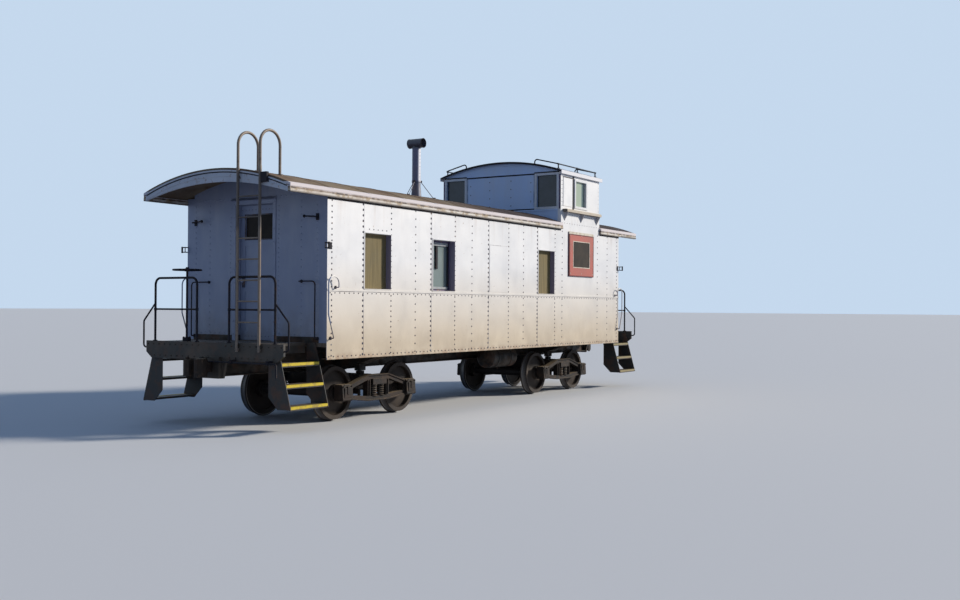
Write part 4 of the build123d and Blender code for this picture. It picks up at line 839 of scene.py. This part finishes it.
eave_paint = start_finish("eave_paint", board_cream, 0.55)
coat(eave_paint, board_pink, 0.9, along(eave_paint, "Z", lap_level - 0.003, lap_level + 0.003))
lap = both(eave_paint, along(eave_paint, "Z", lap_level - 0.024, lap_level - 0.016),
           along(eave_paint, "Z", lap_level + 0.008, lap_level + 0.002))
coat(eave_paint, (0.20, 0.13, 0.09), 0.80, lap)
coat(eave_paint, (0.33, 0.21, 0.08), 0.75,
     patches(eave_paint, 5.0, 0.50, 0.58, detail=8.0, stretch=(1, 1, 1.5)),
     along(eave_paint, "Z", lap_level + 0.012, lap_level - 0.004))
coat(eave_paint, (0.050, 0.024, 0.014), 1.0, lap,
     patches(eave_paint, 8.0, 0.46, 0.52, detail=6.0, stretch=(1, 1, 0.5), shift=(4, 0, 0)))
coat(eave_paint, (0.30, 0.19, 0.11), 0.55, patches(eave_paint, 3.5, 0.40, 0.60, detail=8.0),
     along(eave_paint, "X", -1.5, -4.0))
# painted shade along the foot of the boards: a dark band beyond the far end wall, a patchy darker strip and
# a dark line at the lower edge
coat(eave_paint, (0.03, 0.024, 0.022), 0.9, along(eave_paint, "Z", 3.428, 3.422),
     along(eave_paint, "X", 5.02, 5.04))
coat(eave_paint, (0.50, 0.42, 0.32), 0.7, along(eave_paint, "Z", 3.415, 3.397),
     patches(eave_paint, 4.0, 0.35, 0.6))
coat(eave_paint, (0.11, 0.085, 0.070), 0.85, along(eave_paint, "Z", lower_edge_shade_level + 0.003, lower_edge_shade_level - 0.003))
grain(eave_paint, 0.0008, 60.0)
dress(eave_paint, "eave_fascia")

end_board = start_finish("end_board", (0.66, 0.67, 0.69), 0.5)
stain(end_board, (0.42, 0.42, 0.44), 0.45, 2.5, 0.42, 0.72, detail=7.0)
stain(end_board, rust_stain, 0.7, 13.0, 0.58, 0.68)
dress(end_board, "end_fascia")
for name, bands, finish, slot in (("end_board_lips", lip_bands, end_board, "silver_steel"),
                                  ("end_board_laps", lap_bands, iron_dark, "dark_rail")):
    arches = bmesh.new()
    for end in (-1, 1):
        for reach, low, high in bands:
            low_x, high_x = sorted((end * 5.878, end * reach))
            add_arch(arches, low_x, high_x, roof_crown, roof_curve, low, high, 1.455)
    close_ends(arches, 4)
    make_piece(arches, name, "carbody", finish, slot)

# Cupola
# The lookout's raised box: flat sheets on an angle frame, set in a little above its footboards,
# with white window mouldings, a lapped head rail over the end windows and sparse bolts.
lookout_near = 2.250
lookout_far = 4.028
lookout_side = 1.44
head_rail_level = 4.566
lookout_crown = 4.846
lookout_half = 1.49
lookout_rise = 0.246
lookout_curve = (lookout_half ** 2 + lookout_rise ** 2) / (2 * lookout_rise)
# a painted cool blue shade for the cupola end faces not turned to the far end
lookout_painted_shade = (0.49, 0.63, 0.87)
trim_white = (0.83, 0.82, 0.80)
# bolts on each end and each side: place, first and last height or place, spacing
end_bolts = ((0.26, 3.92, 4.44, 0.17), (0.74, 4.0, 4.38, 0.19))
side_bolts = (2.285, 2.320, 2.880, 3.460, 3.990)
foot_bolts = (3.71, 3.53)

lookout_sheet = start_finish("lookout_sheet", silver, 0.45, 0.12)
lookout_end = end_finish("lookout_end", lookout_painted_shade, (0.66, 0.67, 0.69), 0.45)
lookout_glass = start_finish("lookout_glass", (0.020, 0.032, 0.038), 0.12)
stain(lookout_glass, (0.07, 0.085, 0.11), 0.6, 2.0, 0.40, 0.70, shift=(2, 0, 1))
side_light = both(lookout_glass, along(lookout_glass, "X", 2.80, 2.81),
                  along(lookout_glass, "X", 3.50, 3.49))
coat(lookout_glass, (0.46, 0.53, 0.38), 1.0, side_light)
coat(lookout_glass, (0.09, 0.14, 0.15), 0.9, side_light, along(lookout_glass, "X", 3.235, 3.255))
dress(lookout_glass, "cupola_glass")
silver_coats(lookout_sheet, False)
coat(lookout_sheet, rust_stain, 0.22, along(lookout_sheet, "Z", 3.95, 3.80),
     patches(lookout_sheet, 8.0, 0.58, 0.70, stretch=(1, 1, 0.2)))
dress(lookout_sheet, "cupola_sides")
dress(lookout_end, "cupola_ends")
lookout_cover = start_finish("lookout_cover", (0.90, 0.88, 0.87), 0.62, shine=0.2)
for worn_colour, scale, low, high, strength in (((0.44, 0.43, 0.42), 1.4, 0.40, 0.7, 0.75),
                                                (roof_rust, 3.4, 0.52, 0.66, 0.8)):
    coat(lookout_cover, worn_colour, strength, patches(lookout_cover, scale, low, high, detail=8.0),
         facing_up(lookout_cover))
stain(lookout_cover, rust_stain, 0.5, 16.0, 0.62, 0.70)
grain(lookout_cover, 0.0006, 60.0)
dress(lookout_cover, "cupola_roof")
moulding_paint = start_finish("moulding_paint", trim_white, 0.45)
stain(moulding_paint, (0.55, 0.53, 0.50), 0.45, 5.0, 0.45, 0.72, detail=7.0)
stain(moulding_paint, rust_stain, 0.7, 22.0, 0.64, 0.70)
dress(moulding_paint, "cupola_trims")

head_rails = bmesh.new()
head_shadows = bmesh.new()
corner_strips = bmesh.new()
lookout_seams = bmesh.new()
lookout_bolts = bmesh.new()
for face, way in ((lookout_near, -1), (lookout_far, 1)):
    proud = face + way * 0.0025
    add_bar(head_rails, (face - way * 0.002, -1.38, head_rail_level),
            (face + way * 0.020, 1.38, head_rail_level + 0.014), 0.002)
    # painted shadows under the head rail and under the end belt
    add_bar(head_shadows, (face, -0.86, head_rail_level - 0.026), (proud, 0.86, head_rail_level), 0)
    add_bar(head_shadows, (face, -1.438, 3.817), (proud, 1.438, 3.842), 0)
    for side in (-1, 1):
        # painted shade along each corner of the end face
        add_bar(corner_strips, (face, side * 1.402, 3.845), (proud, side * 1.438, 4.520), 0)
        # the painted shadow under the head rail runs on over the head moulding of each window
        add_bar(head_shadows, (face, side * 0.83, 4.562), (face + way * 0.0215, side * 1.400, 4.586), 0)
        add_bar(lookout_seams, (face, side * 0.809, 3.87), (proud, side * 0.821, head_rail_level - 0.022), 0)
        for place_y, first_z, last_z, pitch in end_bolts:
            rivet_line(lookout_bolts, (face, side * place_y, first_z), (face, side * place_y, last_z), pitch,
                       (way, 0, 0), 0.012, 0.006)
for side in (-1, 1):
    outward = (0, side, 0)
    side_y = side * lookout_side
    for place_x in side_bolts:
        rivet_line(lookout_bolts, (place_x, side_y, 3.88), (place_x, side_y, 4.48), 0.085, outward,
                   0.007, 0.004)
    for level in foot_bolts:
        rivet_line(lookout_bolts, (2.29, side * wall_face, level), (3.99, side * wall_face, level), 0.11,
                   outward, 0.009, 0.005)
    # painted shade in the gap beside the side window and under the head of the blank panel
    add_bar(head_shadows, (2.766, side_y, 3.83), (2.836, side * (lookout_side + 0.003), 4.52), 0)
    add_bar(head_shadows, (2.345, side_y, 4.467), (2.766, side * (lookout_side + 0.003), 4.489), 0)
make_piece(head_rails, "cupola_head_rails", "carbody", lookout_end, "silver_steel")
make_piece(head_shadows, "cupola_painted_shadows", "carbody", iron_dark, "dark_rail")
make_piece(corner_strips, "cupola_corner_strips", "carbody", reveal_painted_shade, "silver_steel")
make_piece(lookout_seams, "cupola_seams", "carbody", seam_dark, "silver_steel")
make_piece(lookout_bolts, "cupola_bolts", "carbody", rivet_grey, "silver_steel")

# a painted shade along the arched end edges of the cupola roof
cover_rims = bmesh.new()
for x_low, x_high in ((2.188, 2.191), (4.087, 4.090)):
    add_arch(cover_rims, x_low, x_high, lookout_crown, lookout_curve, -0.042, -0.001, 1.485, 24)
close_ends(cover_rims, 4)
make_piece(cover_rims, "cupola_roof_rims", "carbody", iron_dark, "dark_rail")
cover_strips = bmesh.new()
for place_x in (2.665, 3.139, 3.614):
    add_arch(cover_strips, place_x - strip_half, place_x + strip_half, lookout_crown, lookout_curve,
             -0.001, strip_proud, 1.485, 20)
close_ends(cover_strips, 4)
make_piece(cover_strips, "cupola_roof_strips", "carbody", lookout_cover, "silver_steel")

# Cupola footboards
# A narrow board along each side on three triangular brackets, cream on top, rusty on its edge.
ledge_paint = start_finish("ledge_paint", (0.60, 0.52, 0.40), 0.65)
stain(ledge_paint, (0.40, 0.30, 0.20), 0.7, 5.0, 0.42, 0.68, detail=8.0, stretch=(0.5, 1, 1))
coat(ledge_paint, (0.58, 0.55, 0.54), 0.9, along(ledge_paint, "Z", 3.758, 3.755))
# painted shade: darker on the faces that look down, and at the near end of the board above its brackets
coat(ledge_paint, (0.09, 0.065, 0.050), 0.8, facing_up(ledge_paint, -0.5, -0.9))
coat(ledge_paint, (0.07, 0.055, 0.050), 0.8, along(ledge_paint, "X", 2.344, 2.341),
     along(ledge_paint, "Z", 3.755, 3.760))
grain(ledge_paint, 0.001, 40.0)
dress(ledge_paint, "cupola_ledges")

# Smokejack
# Galvanised stove pipe through a flashed collar, stayed by three rods from a clamp ring,
# with a cross-shaped head whose open ends are rolled over and blackened with soot. Painted blue shade
# darkens it, with a painted highlight on the right.
jack_place = Vector((-1.487, -0.500, 0))
jack_radius = 0.076
head_level = 4.714
head_radius = 0.083
head_half = 0.150
clamp_level = 4.034


def around(x, y, radius, degrees):
    angle = math.radians(degrees)
    return x + radius * math.cos(angle), y + radius * math.sin(angle)


# the dark blue base is painted shade, and the pale coat on faces turned right is a painted highlight
galvanised = start_finish("galvanised", (0.125, 0.130, 0.215), 0.45, 0.1)
stain(galvanised, (0.090, 0.095, 0.165), 0.6, 9.0, 0.35, 0.65, detail=6.0)
coat(galvanised, (0.86, 0.84, 0.86), 0.9, facing(galvanised, "Y", -0.80, -0.93))
coat(galvanised, (0.055, 0.062, 0.085), 0.9, along(galvanised, "Z", 4.605, 4.625))
coat(galvanised, (0.045, 0.055, 0.10), 0.75, along(galvanised, "Z", 4.045, 4.020))
coat(galvanised, rust_stain, 0.35, patches(galvanised, 7.0, 0.46, 0.64, stretch=(1, 1, 0.3)),
     along(galvanised, "Z", 4.35, 3.95))
coat(galvanised, (0.035, 0.030, 0.028), 0.7, along(galvanised, "Z", 4.70, 4.80),
     patches(galvanised, 6.0, 0.4, 0.6))
grain(galvanised, 0.0008, 25.0)
dress(galvanised, "smokejack")
jack_trim = bmesh.new()
for side in (-1, 1):
    # a rolled bead round each open end of the head, and a row of rivets up each side of the pipe
    centre = jack_place + Vector((0, side * head_half, head_level))
    ring = bmesh.ops.create_circle(jack_trim, cap_ends=False, segments=8, radius=0.006,
                                   matrix=Matrix.Translation(centre + Vector((head_radius - 0.002, 0, 0))))
    bmesh.ops.spin(jack_trim, geom=edges_of(ring), cent=centre, axis=(0, 1, 0), angle=2 * math.pi, steps=32,
                   use_merge=True, use_duplicate=False)
    seam = jack_place + Vector((0, side * jack_radius, 0))
    rivet_line(jack_trim, seam + Vector((0, 0, 4.05)), seam + Vector((0, 0, 4.55)), 0.062, (0, side, 0),
               0.006, 0.004)
for degrees in (72, 192, 312):
    lug_x, lug_y = around(jack_place.x, jack_place.y, jack_radius + 0.010, degrees)
    add_bar(jack_trim, (lug_x - 0.014, lug_y - 0.014, clamp_level - 0.016),
            (lug_x + 0.014, lug_y + 0.014, clamp_level + 0.016))
bmesh.ops.remove_doubles(jack_trim, verts=jack_trim.verts, dist=0.00002)
bmesh.ops.recalc_face_normals(jack_trim, faces=jack_trim.faces)
make_piece(jack_trim, "smokejack_trim", "carbody", iron_dark, "galvanised")

# Cupola handrails
# Bent pipe along both edges of the cupola roof, coupled with short sleeves over each post.
rail_paint = start_finish("rail_paint", (0.010, 0.014, 0.024), 0.5, shine=0.15)
stain(rail_paint, dark_rust, 0.35, 10.0, 0.58, 0.68)
grain(rail_paint, 0.0006, 60.0, detail=2.0)
dress(rail_paint, "cupola_handrails")
rail_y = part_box("cupola_handrails")[1].y - 0.013
foot_level = lookout_crown - lookout_curve + math.sqrt(lookout_curve ** 2 - 1.360 ** 2)
rail_level = foot_level + 0.095
sleeves = bmesh.new()
for side in (-1, 1):
    for place_x in (2.290, 3.139, 3.988):
        add_rod(sleeves, (place_x - 0.030, side * rail_y, rail_level),
                (place_x + 0.030, side * rail_y, rail_level), 0.0175)
        add_upright(sleeves, place_x, side * rail_y, foot_level - 0.006, foot_level + 0.010, 0.030)
make_piece(sleeves, "handrail_sleeves", "carbody", rail_paint, "dark_rail")

# Ladders
# Pipe stiles with welded rungs, carried on past the eave in tall bows that land on the roof.
# The tan paint is rubbed back to bare metal on the rungs.
ladder_tan = (0.29, 0.215, 0.155)
stile_places = (0.530, 0.960)
stile_foot_x = 5.905
landing_x = 5.511
sleeve_x = 5.916

ladder_coat = start_finish("ladder_coat", ladder_tan, 0.5)
stain(ladder_coat, (0.19, 0.145, 0.105), 0.7, 3.5, 0.40, 0.66, detail=7.0)
stain(ladder_coat, (0.38, 0.31, 0.21), 0.7, 8.0, 0.56, 0.68)
# painted shade of the roof: a dark band on the stiles from above the windows to just over the eave
coat(ladder_coat, (0.045, 0.038, 0.038), 0.8, along(ladder_coat, "Z", 2.85, 2.95),
     along(ladder_coat, "Z", 3.75, 3.65))
stain(ladder_coat, dark_rust, 0.7, 18.0, 0.60, 0.70)
grain(ladder_coat, 0.0006, 60.0, detail=2.0)
dress(ladder_coat, "end_ladders", "ladder_loops")
ladder_fixings = bmesh.new()
for end in (-1, 1):
    for stile in stile_places:
        side_y = end * stile
        add_rod(ladder_fixings, (end * stile_foot_x, side_y, 1.17),
                (end * (stile_foot_x + 0.042), side_y, 1.17), 0.009, 6)
        # a round foot with four bolts where the bow lands on the roof
        landing = roof_crown - roof_curve + math.sqrt(roof_curve ** 2 - stile ** 2)
        add_upright(ladder_fixings, end * landing_x, side_y, landing - 0.012, landing + 0.008, 0.048, 16)
        for degrees in (45, 135, 225, 315):
            bolt = around(end * landing_x, side_y, 0.037, degrees)
            add_upright(ladder_fixings, *bolt, landing, landing + 0.014, 0.006, 6)
        add_upright(ladder_fixings, end * sleeve_x, side_y, 3.70, 3.78, 0.0245, 16)
make_piece(ladder_fixings, "ladder_fixings", "carbody", ladder_coat, "ladder_paint")
clamps = bmesh.new()
for end in (-1, 1):
    add_bar(clamps, (end * 5.878, end * 0.975, 3.545), (end * 5.930, end * 1.095, 3.690), 0.004)
make_piece(clamps, "ladder_clamps", "carbody", iron_dark, "dark_rail")

# Railings, hand brakes and irons
# Bent pipe railings on the end sills, an upright staff with a spoked brake wheel at each end,
# and round grab irons bolted through the corners of the body.
railing_x = 5.87
brake_x = 5.78
brake_y = 0.64

dress(iron_dark, "end_railings", "hand_brakes", "end_grabs", "marker_brackets", "cut_levers")
iron_feet = bmesh.new()
for end, side in corners:
    for post in (0.330, 1.225):
        add_upright(iron_feet, end * railing_x, side * post, 1.258, 1.270, 0.034, 16)
        add_upright(iron_feet, end * railing_x, side * post, 1.72, 1.76, 0.023)
    for place_x, level in ((4.84, 2.075), (4.95, 1.330)):
        add_rod(iron_feet, (end * place_x, side * wall_face, level),
                (end * place_x, side * (wall_face + 0.007), level), 0.026, 14)
    for place_y, level in ((1.280, 1.320), (0.960, 2.165)):
        add_rod(iron_feet, (end * end_face, side * place_y, level),
                (end * (end_face + 0.007), side * place_y, level), 0.026, 14)
for end in (-1, 1):
    # the bolts round the foot of the brake staff and the nut on the wheel
    for degrees in range(0, 360, 60):
        bolt = around(end * brake_x, -end * brake_y, 0.05, degrees)
        add_upright(iron_feet, *bolt, 1.318, 1.330, 0.008, 6)
    add_upright(iron_feet, end * brake_x, -end * brake_y, 2.350, 2.372, 0.022, 6)
make_piece(iron_feet, "iron_feet", "carbody", iron_dark, "dark_rail")

# Couplers
# Cast steel knuckle couplers sprung in the centre sill, with the knuckle on a vertical pin
# and an uncoupling rod across the end sill.
cast_black = (0.020, 0.016, 0.014)
coupler_reach = 6.29

cast_steel = start_finish("cast_steel", cast_black, 0.65, shine=0.25)
stain(cast_steel, (0.045, 0.026, 0.016), 0.8, 4.0, 0.42, 0.64, detail=7.0)
stain(cast_steel, (0.10, 0.062, 0.036), 0.7, 9.0, 0.58, 0.70, detail=7.0)
# paler on the faces that look up, partly dust and partly a painted highlight
coat(cast_steel, (0.30, 0.23, 0.15), 0.75, facing_up(cast_steel, 0.6, 0.95))
grain(cast_steel, 0.002, 35.0, 0.2, 0.8)
dress(cast_steel, "couplers", "coupler_knuckles")
pins = bmesh.new()
for end in (-1, 1):
    pin_x, pin_y = end * (coupler_reach - 0.052), end * -0.125
    add_upright(pins, pin_x, pin_y, 1.015, 1.058, 0.030)
    add_upright(pins, pin_x, pin_y, 0.748, 0.770, 0.022)
    lock_x, lock_y = end * (coupler_reach - 0.185), end * 0.02
    add_upright(pins, lock_x, lock_y, 1.034, 1.062, 0.040, top_radius=0.028)
    add_bar(pins, (lock_x, lock_y - 0.010, 1.036), (lock_x - end * 0.14, lock_y + 0.010, 1.048))
make_piece(pins, "coupler_pins", "carbody", cast_steel, "cast_steel")

# Brake gear
# An air cylinder and a riveted steel reservoir hang in straps under the floor.
dress(frame_black, "brake_cylinder", "air_reservoir")
gear_bolts = bmesh.new()
for end in (-1, 1):
    centre = Vector((-0.900 + end * 0.19, 0.560, 0.880))
    for degrees in range(0, 360, 45):
        angle = math.radians(degrees)
        spot = centre + Vector((0, math.cos(angle) * 0.15, math.sin(angle) * 0.15))
        add_rod(gear_bolts, spot, spot + Vector((end * 0.012, 0, 0)), 0.010, 6)
add_upright(gear_bolts, 1.150, -0.620, 0.600, 0.580, 0.018, 8)
make_piece(gear_bolts, "gear_bolts", "carbody", frame_black, "black_steel")

# Trucks
# Cast side frames on plain journal boxes, with a bolster on coil springs between the columns.
# A rib follows the frame's top and bottom chords, and each box has a hinged lid with a spring clip.
truck_middles = {"a": -3.225, "b": 3.225}
axle_offset = 0.838
frame_face = 1.015
lid_face = 1.063
rib_proud = 0.022
# ribs of one half of a side frame: both ends as place from the middle and height, and the width across
rib_lines = (
    (0.0, 0.694, 0.270, 0.694, 0.020),
    (0.270, 0.692, 0.712, 0.563, 0.020),
    (0.0, 0.296, 0.280, 0.296, 0.020),
    (0.280, 0.298, 0.712, 0.345, 0.020),
    (0.238, 0.37, 0.238, 0.62, 0.018),
)
spring_y = 0.965
spring_level = 0.355
spring_top = 0.545
seat_thickness = 0.014
coil_radius = 0.061
coil_wire = 0.012
coil_turns = 5
turn_steps = 20


def add_strut(shape, start, end, across):
    # a flat bar that stands out from the side frame between two points of its face
    start, end = Vector(start), Vector(end)
    run = end - start
    turn = Matrix.Rotation(-math.atan2(run.z, run.x), 4, "Y")
    size = Matrix.Diagonal((run.length, rib_proud, across, 1))
    add_block(shape, Matrix.Translation((start + end) / 2) @ turn @ size, 0.003)


def add_spring(shape, x, y):
    # one wound coil round an inner column, between an upper and a lower seat
    pitch = (spring_top - spring_level - 2 * coil_wire) / coil_turns
    start = Vector((x + coil_radius, y, spring_level + coil_wire))
    ring = bmesh.ops.create_circle(shape, cap_ends=False, segments=8, radius=coil_wire,
                                   matrix=Matrix.Translation(start) @ Matrix.Rotation(math.pi / 2, 4, "X"))
    bmesh.ops.spin(shape, geom=edges_of(ring), cent=(x, y, 0), axis=(0, 0, 1),
                   dvec=(0, 0, pitch / turn_steps), angle=2 * math.pi * coil_turns,
                   steps=coil_turns * turn_steps, use_merge=False, use_duplicate=False)
    add_upright(shape, x, y, spring_level, spring_level + seat_thickness, 0.078, 20)
    add_upright(shape, x, y, spring_top - seat_thickness, spring_top, 0.078, 20)
    add_upright(shape, x, y, spring_level, spring_top, 0.030)


for name, middle in truck_middles.items():
    dress(cast_steel, f"truck_{name}_side_frames", f"truck_{name}_bolster", f"truck_{name}_brakes")
    ribs = bmesh.new()
    coils = bmesh.new()
    for side in (-1, 1):
        face = side * (frame_face + rib_proud / 2 - 0.002)
        lid = side * lid_face
        for way in (-1, 1):
            for first_x, first_z, last_x, last_z, across in rib_lines:
                add_strut(ribs, (middle + way * first_x, face, first_z),
                          (middle + way * last_x, face, last_z), across)
            # the lid of the journal box, its spring clip and the bolts of the box
            box_x = middle + way * axle_offset
            add_bar(ribs, (box_x - 0.085, lid, 0.375), (box_x + 0.085, lid + side * 0.014, 0.535), 0.004)
            add_bar(ribs, (box_x - 0.024, lid, 0.430), (box_x + 0.024, lid + side * 0.024, 0.556), 0.004)
            for bolt_x in (box_x - 0.100, box_x + 0.100):
                for bolt_z in (0.352, 0.555):
                    add_rod(ribs, (bolt_x, lid - side * 0.03, bolt_z), (bolt_x, lid + side * 0.010, bolt_z),
                            0.013, 6)
        for spring_x in (-0.092, 0.092):
            add_spring(coils, middle + spring_x, side * spring_y)
    close_ends(coils, 8)
    make_piece(ribs, f"truck_{name}_ribs", f"truck_{name}", cast_steel, "cast_steel")
    make_piece(coils, f"truck_{name}_coils", f"truck_{name}", frame_black, "spring_steel",
               f"truck_{name}_springs")

# Wheels
# Cast steel wheels pressed on forged axles. The treads shine a little where the brake shoes bear,
# and the plates are brown with rust and brake dust.
wheel_brown = (0.042, 0.029, 0.021)
wheel_dust = (0.095, 0.068, 0.046)
tread_steel = (0.30, 0.27, 0.24)
axle_level = 0.444

for name, middle in truck_middles.items():
    for number, way in ((1, -1), (2, 1)):
        axle_x = middle + way * axle_offset
        wheel_coat = start_finish(f"wheel_steel_{name}{number}", wheel_brown, 0.7, 0.2)
        stain(wheel_coat, (0.022, 0.016, 0.013), 0.7, 5.0, 0.40, 0.65, detail=8.0)
        stain(wheel_coat, wheel_dust, 0.6, 2.2, 0.46, 0.70)
        centred = object_place(wheel_coat, (1, 0, 1), (-axle_x, 0, -axle_level))
        distance = add_node(wheel_coat, "ShaderNodeVectorMath", operation="LENGTH")
        join(wheel_coat, centred, distance.inputs[0])
        on_tread = both(wheel_coat, spread(wheel_coat, distance.outputs["Value"], 0.4135, 0.4175),
                        spread(wheel_coat, distance.outputs["Value"], 0.432, 0.426))
        coat(wheel_coat, tread_steel, 0.75, on_tread)
        greasy = spread(wheel_coat, distance.outputs["Value"], 0.150, 0.085)
        coat(wheel_coat, (0.022, 0.018, 0.016), 0.75, greasy)
        vary_roughness(wheel_coat, on_tread, 0.72, 0.38)
        grain(wheel_coat, 0.0012, 30.0)
        dress(wheel_coat, f"wheelset_{name}{number}")
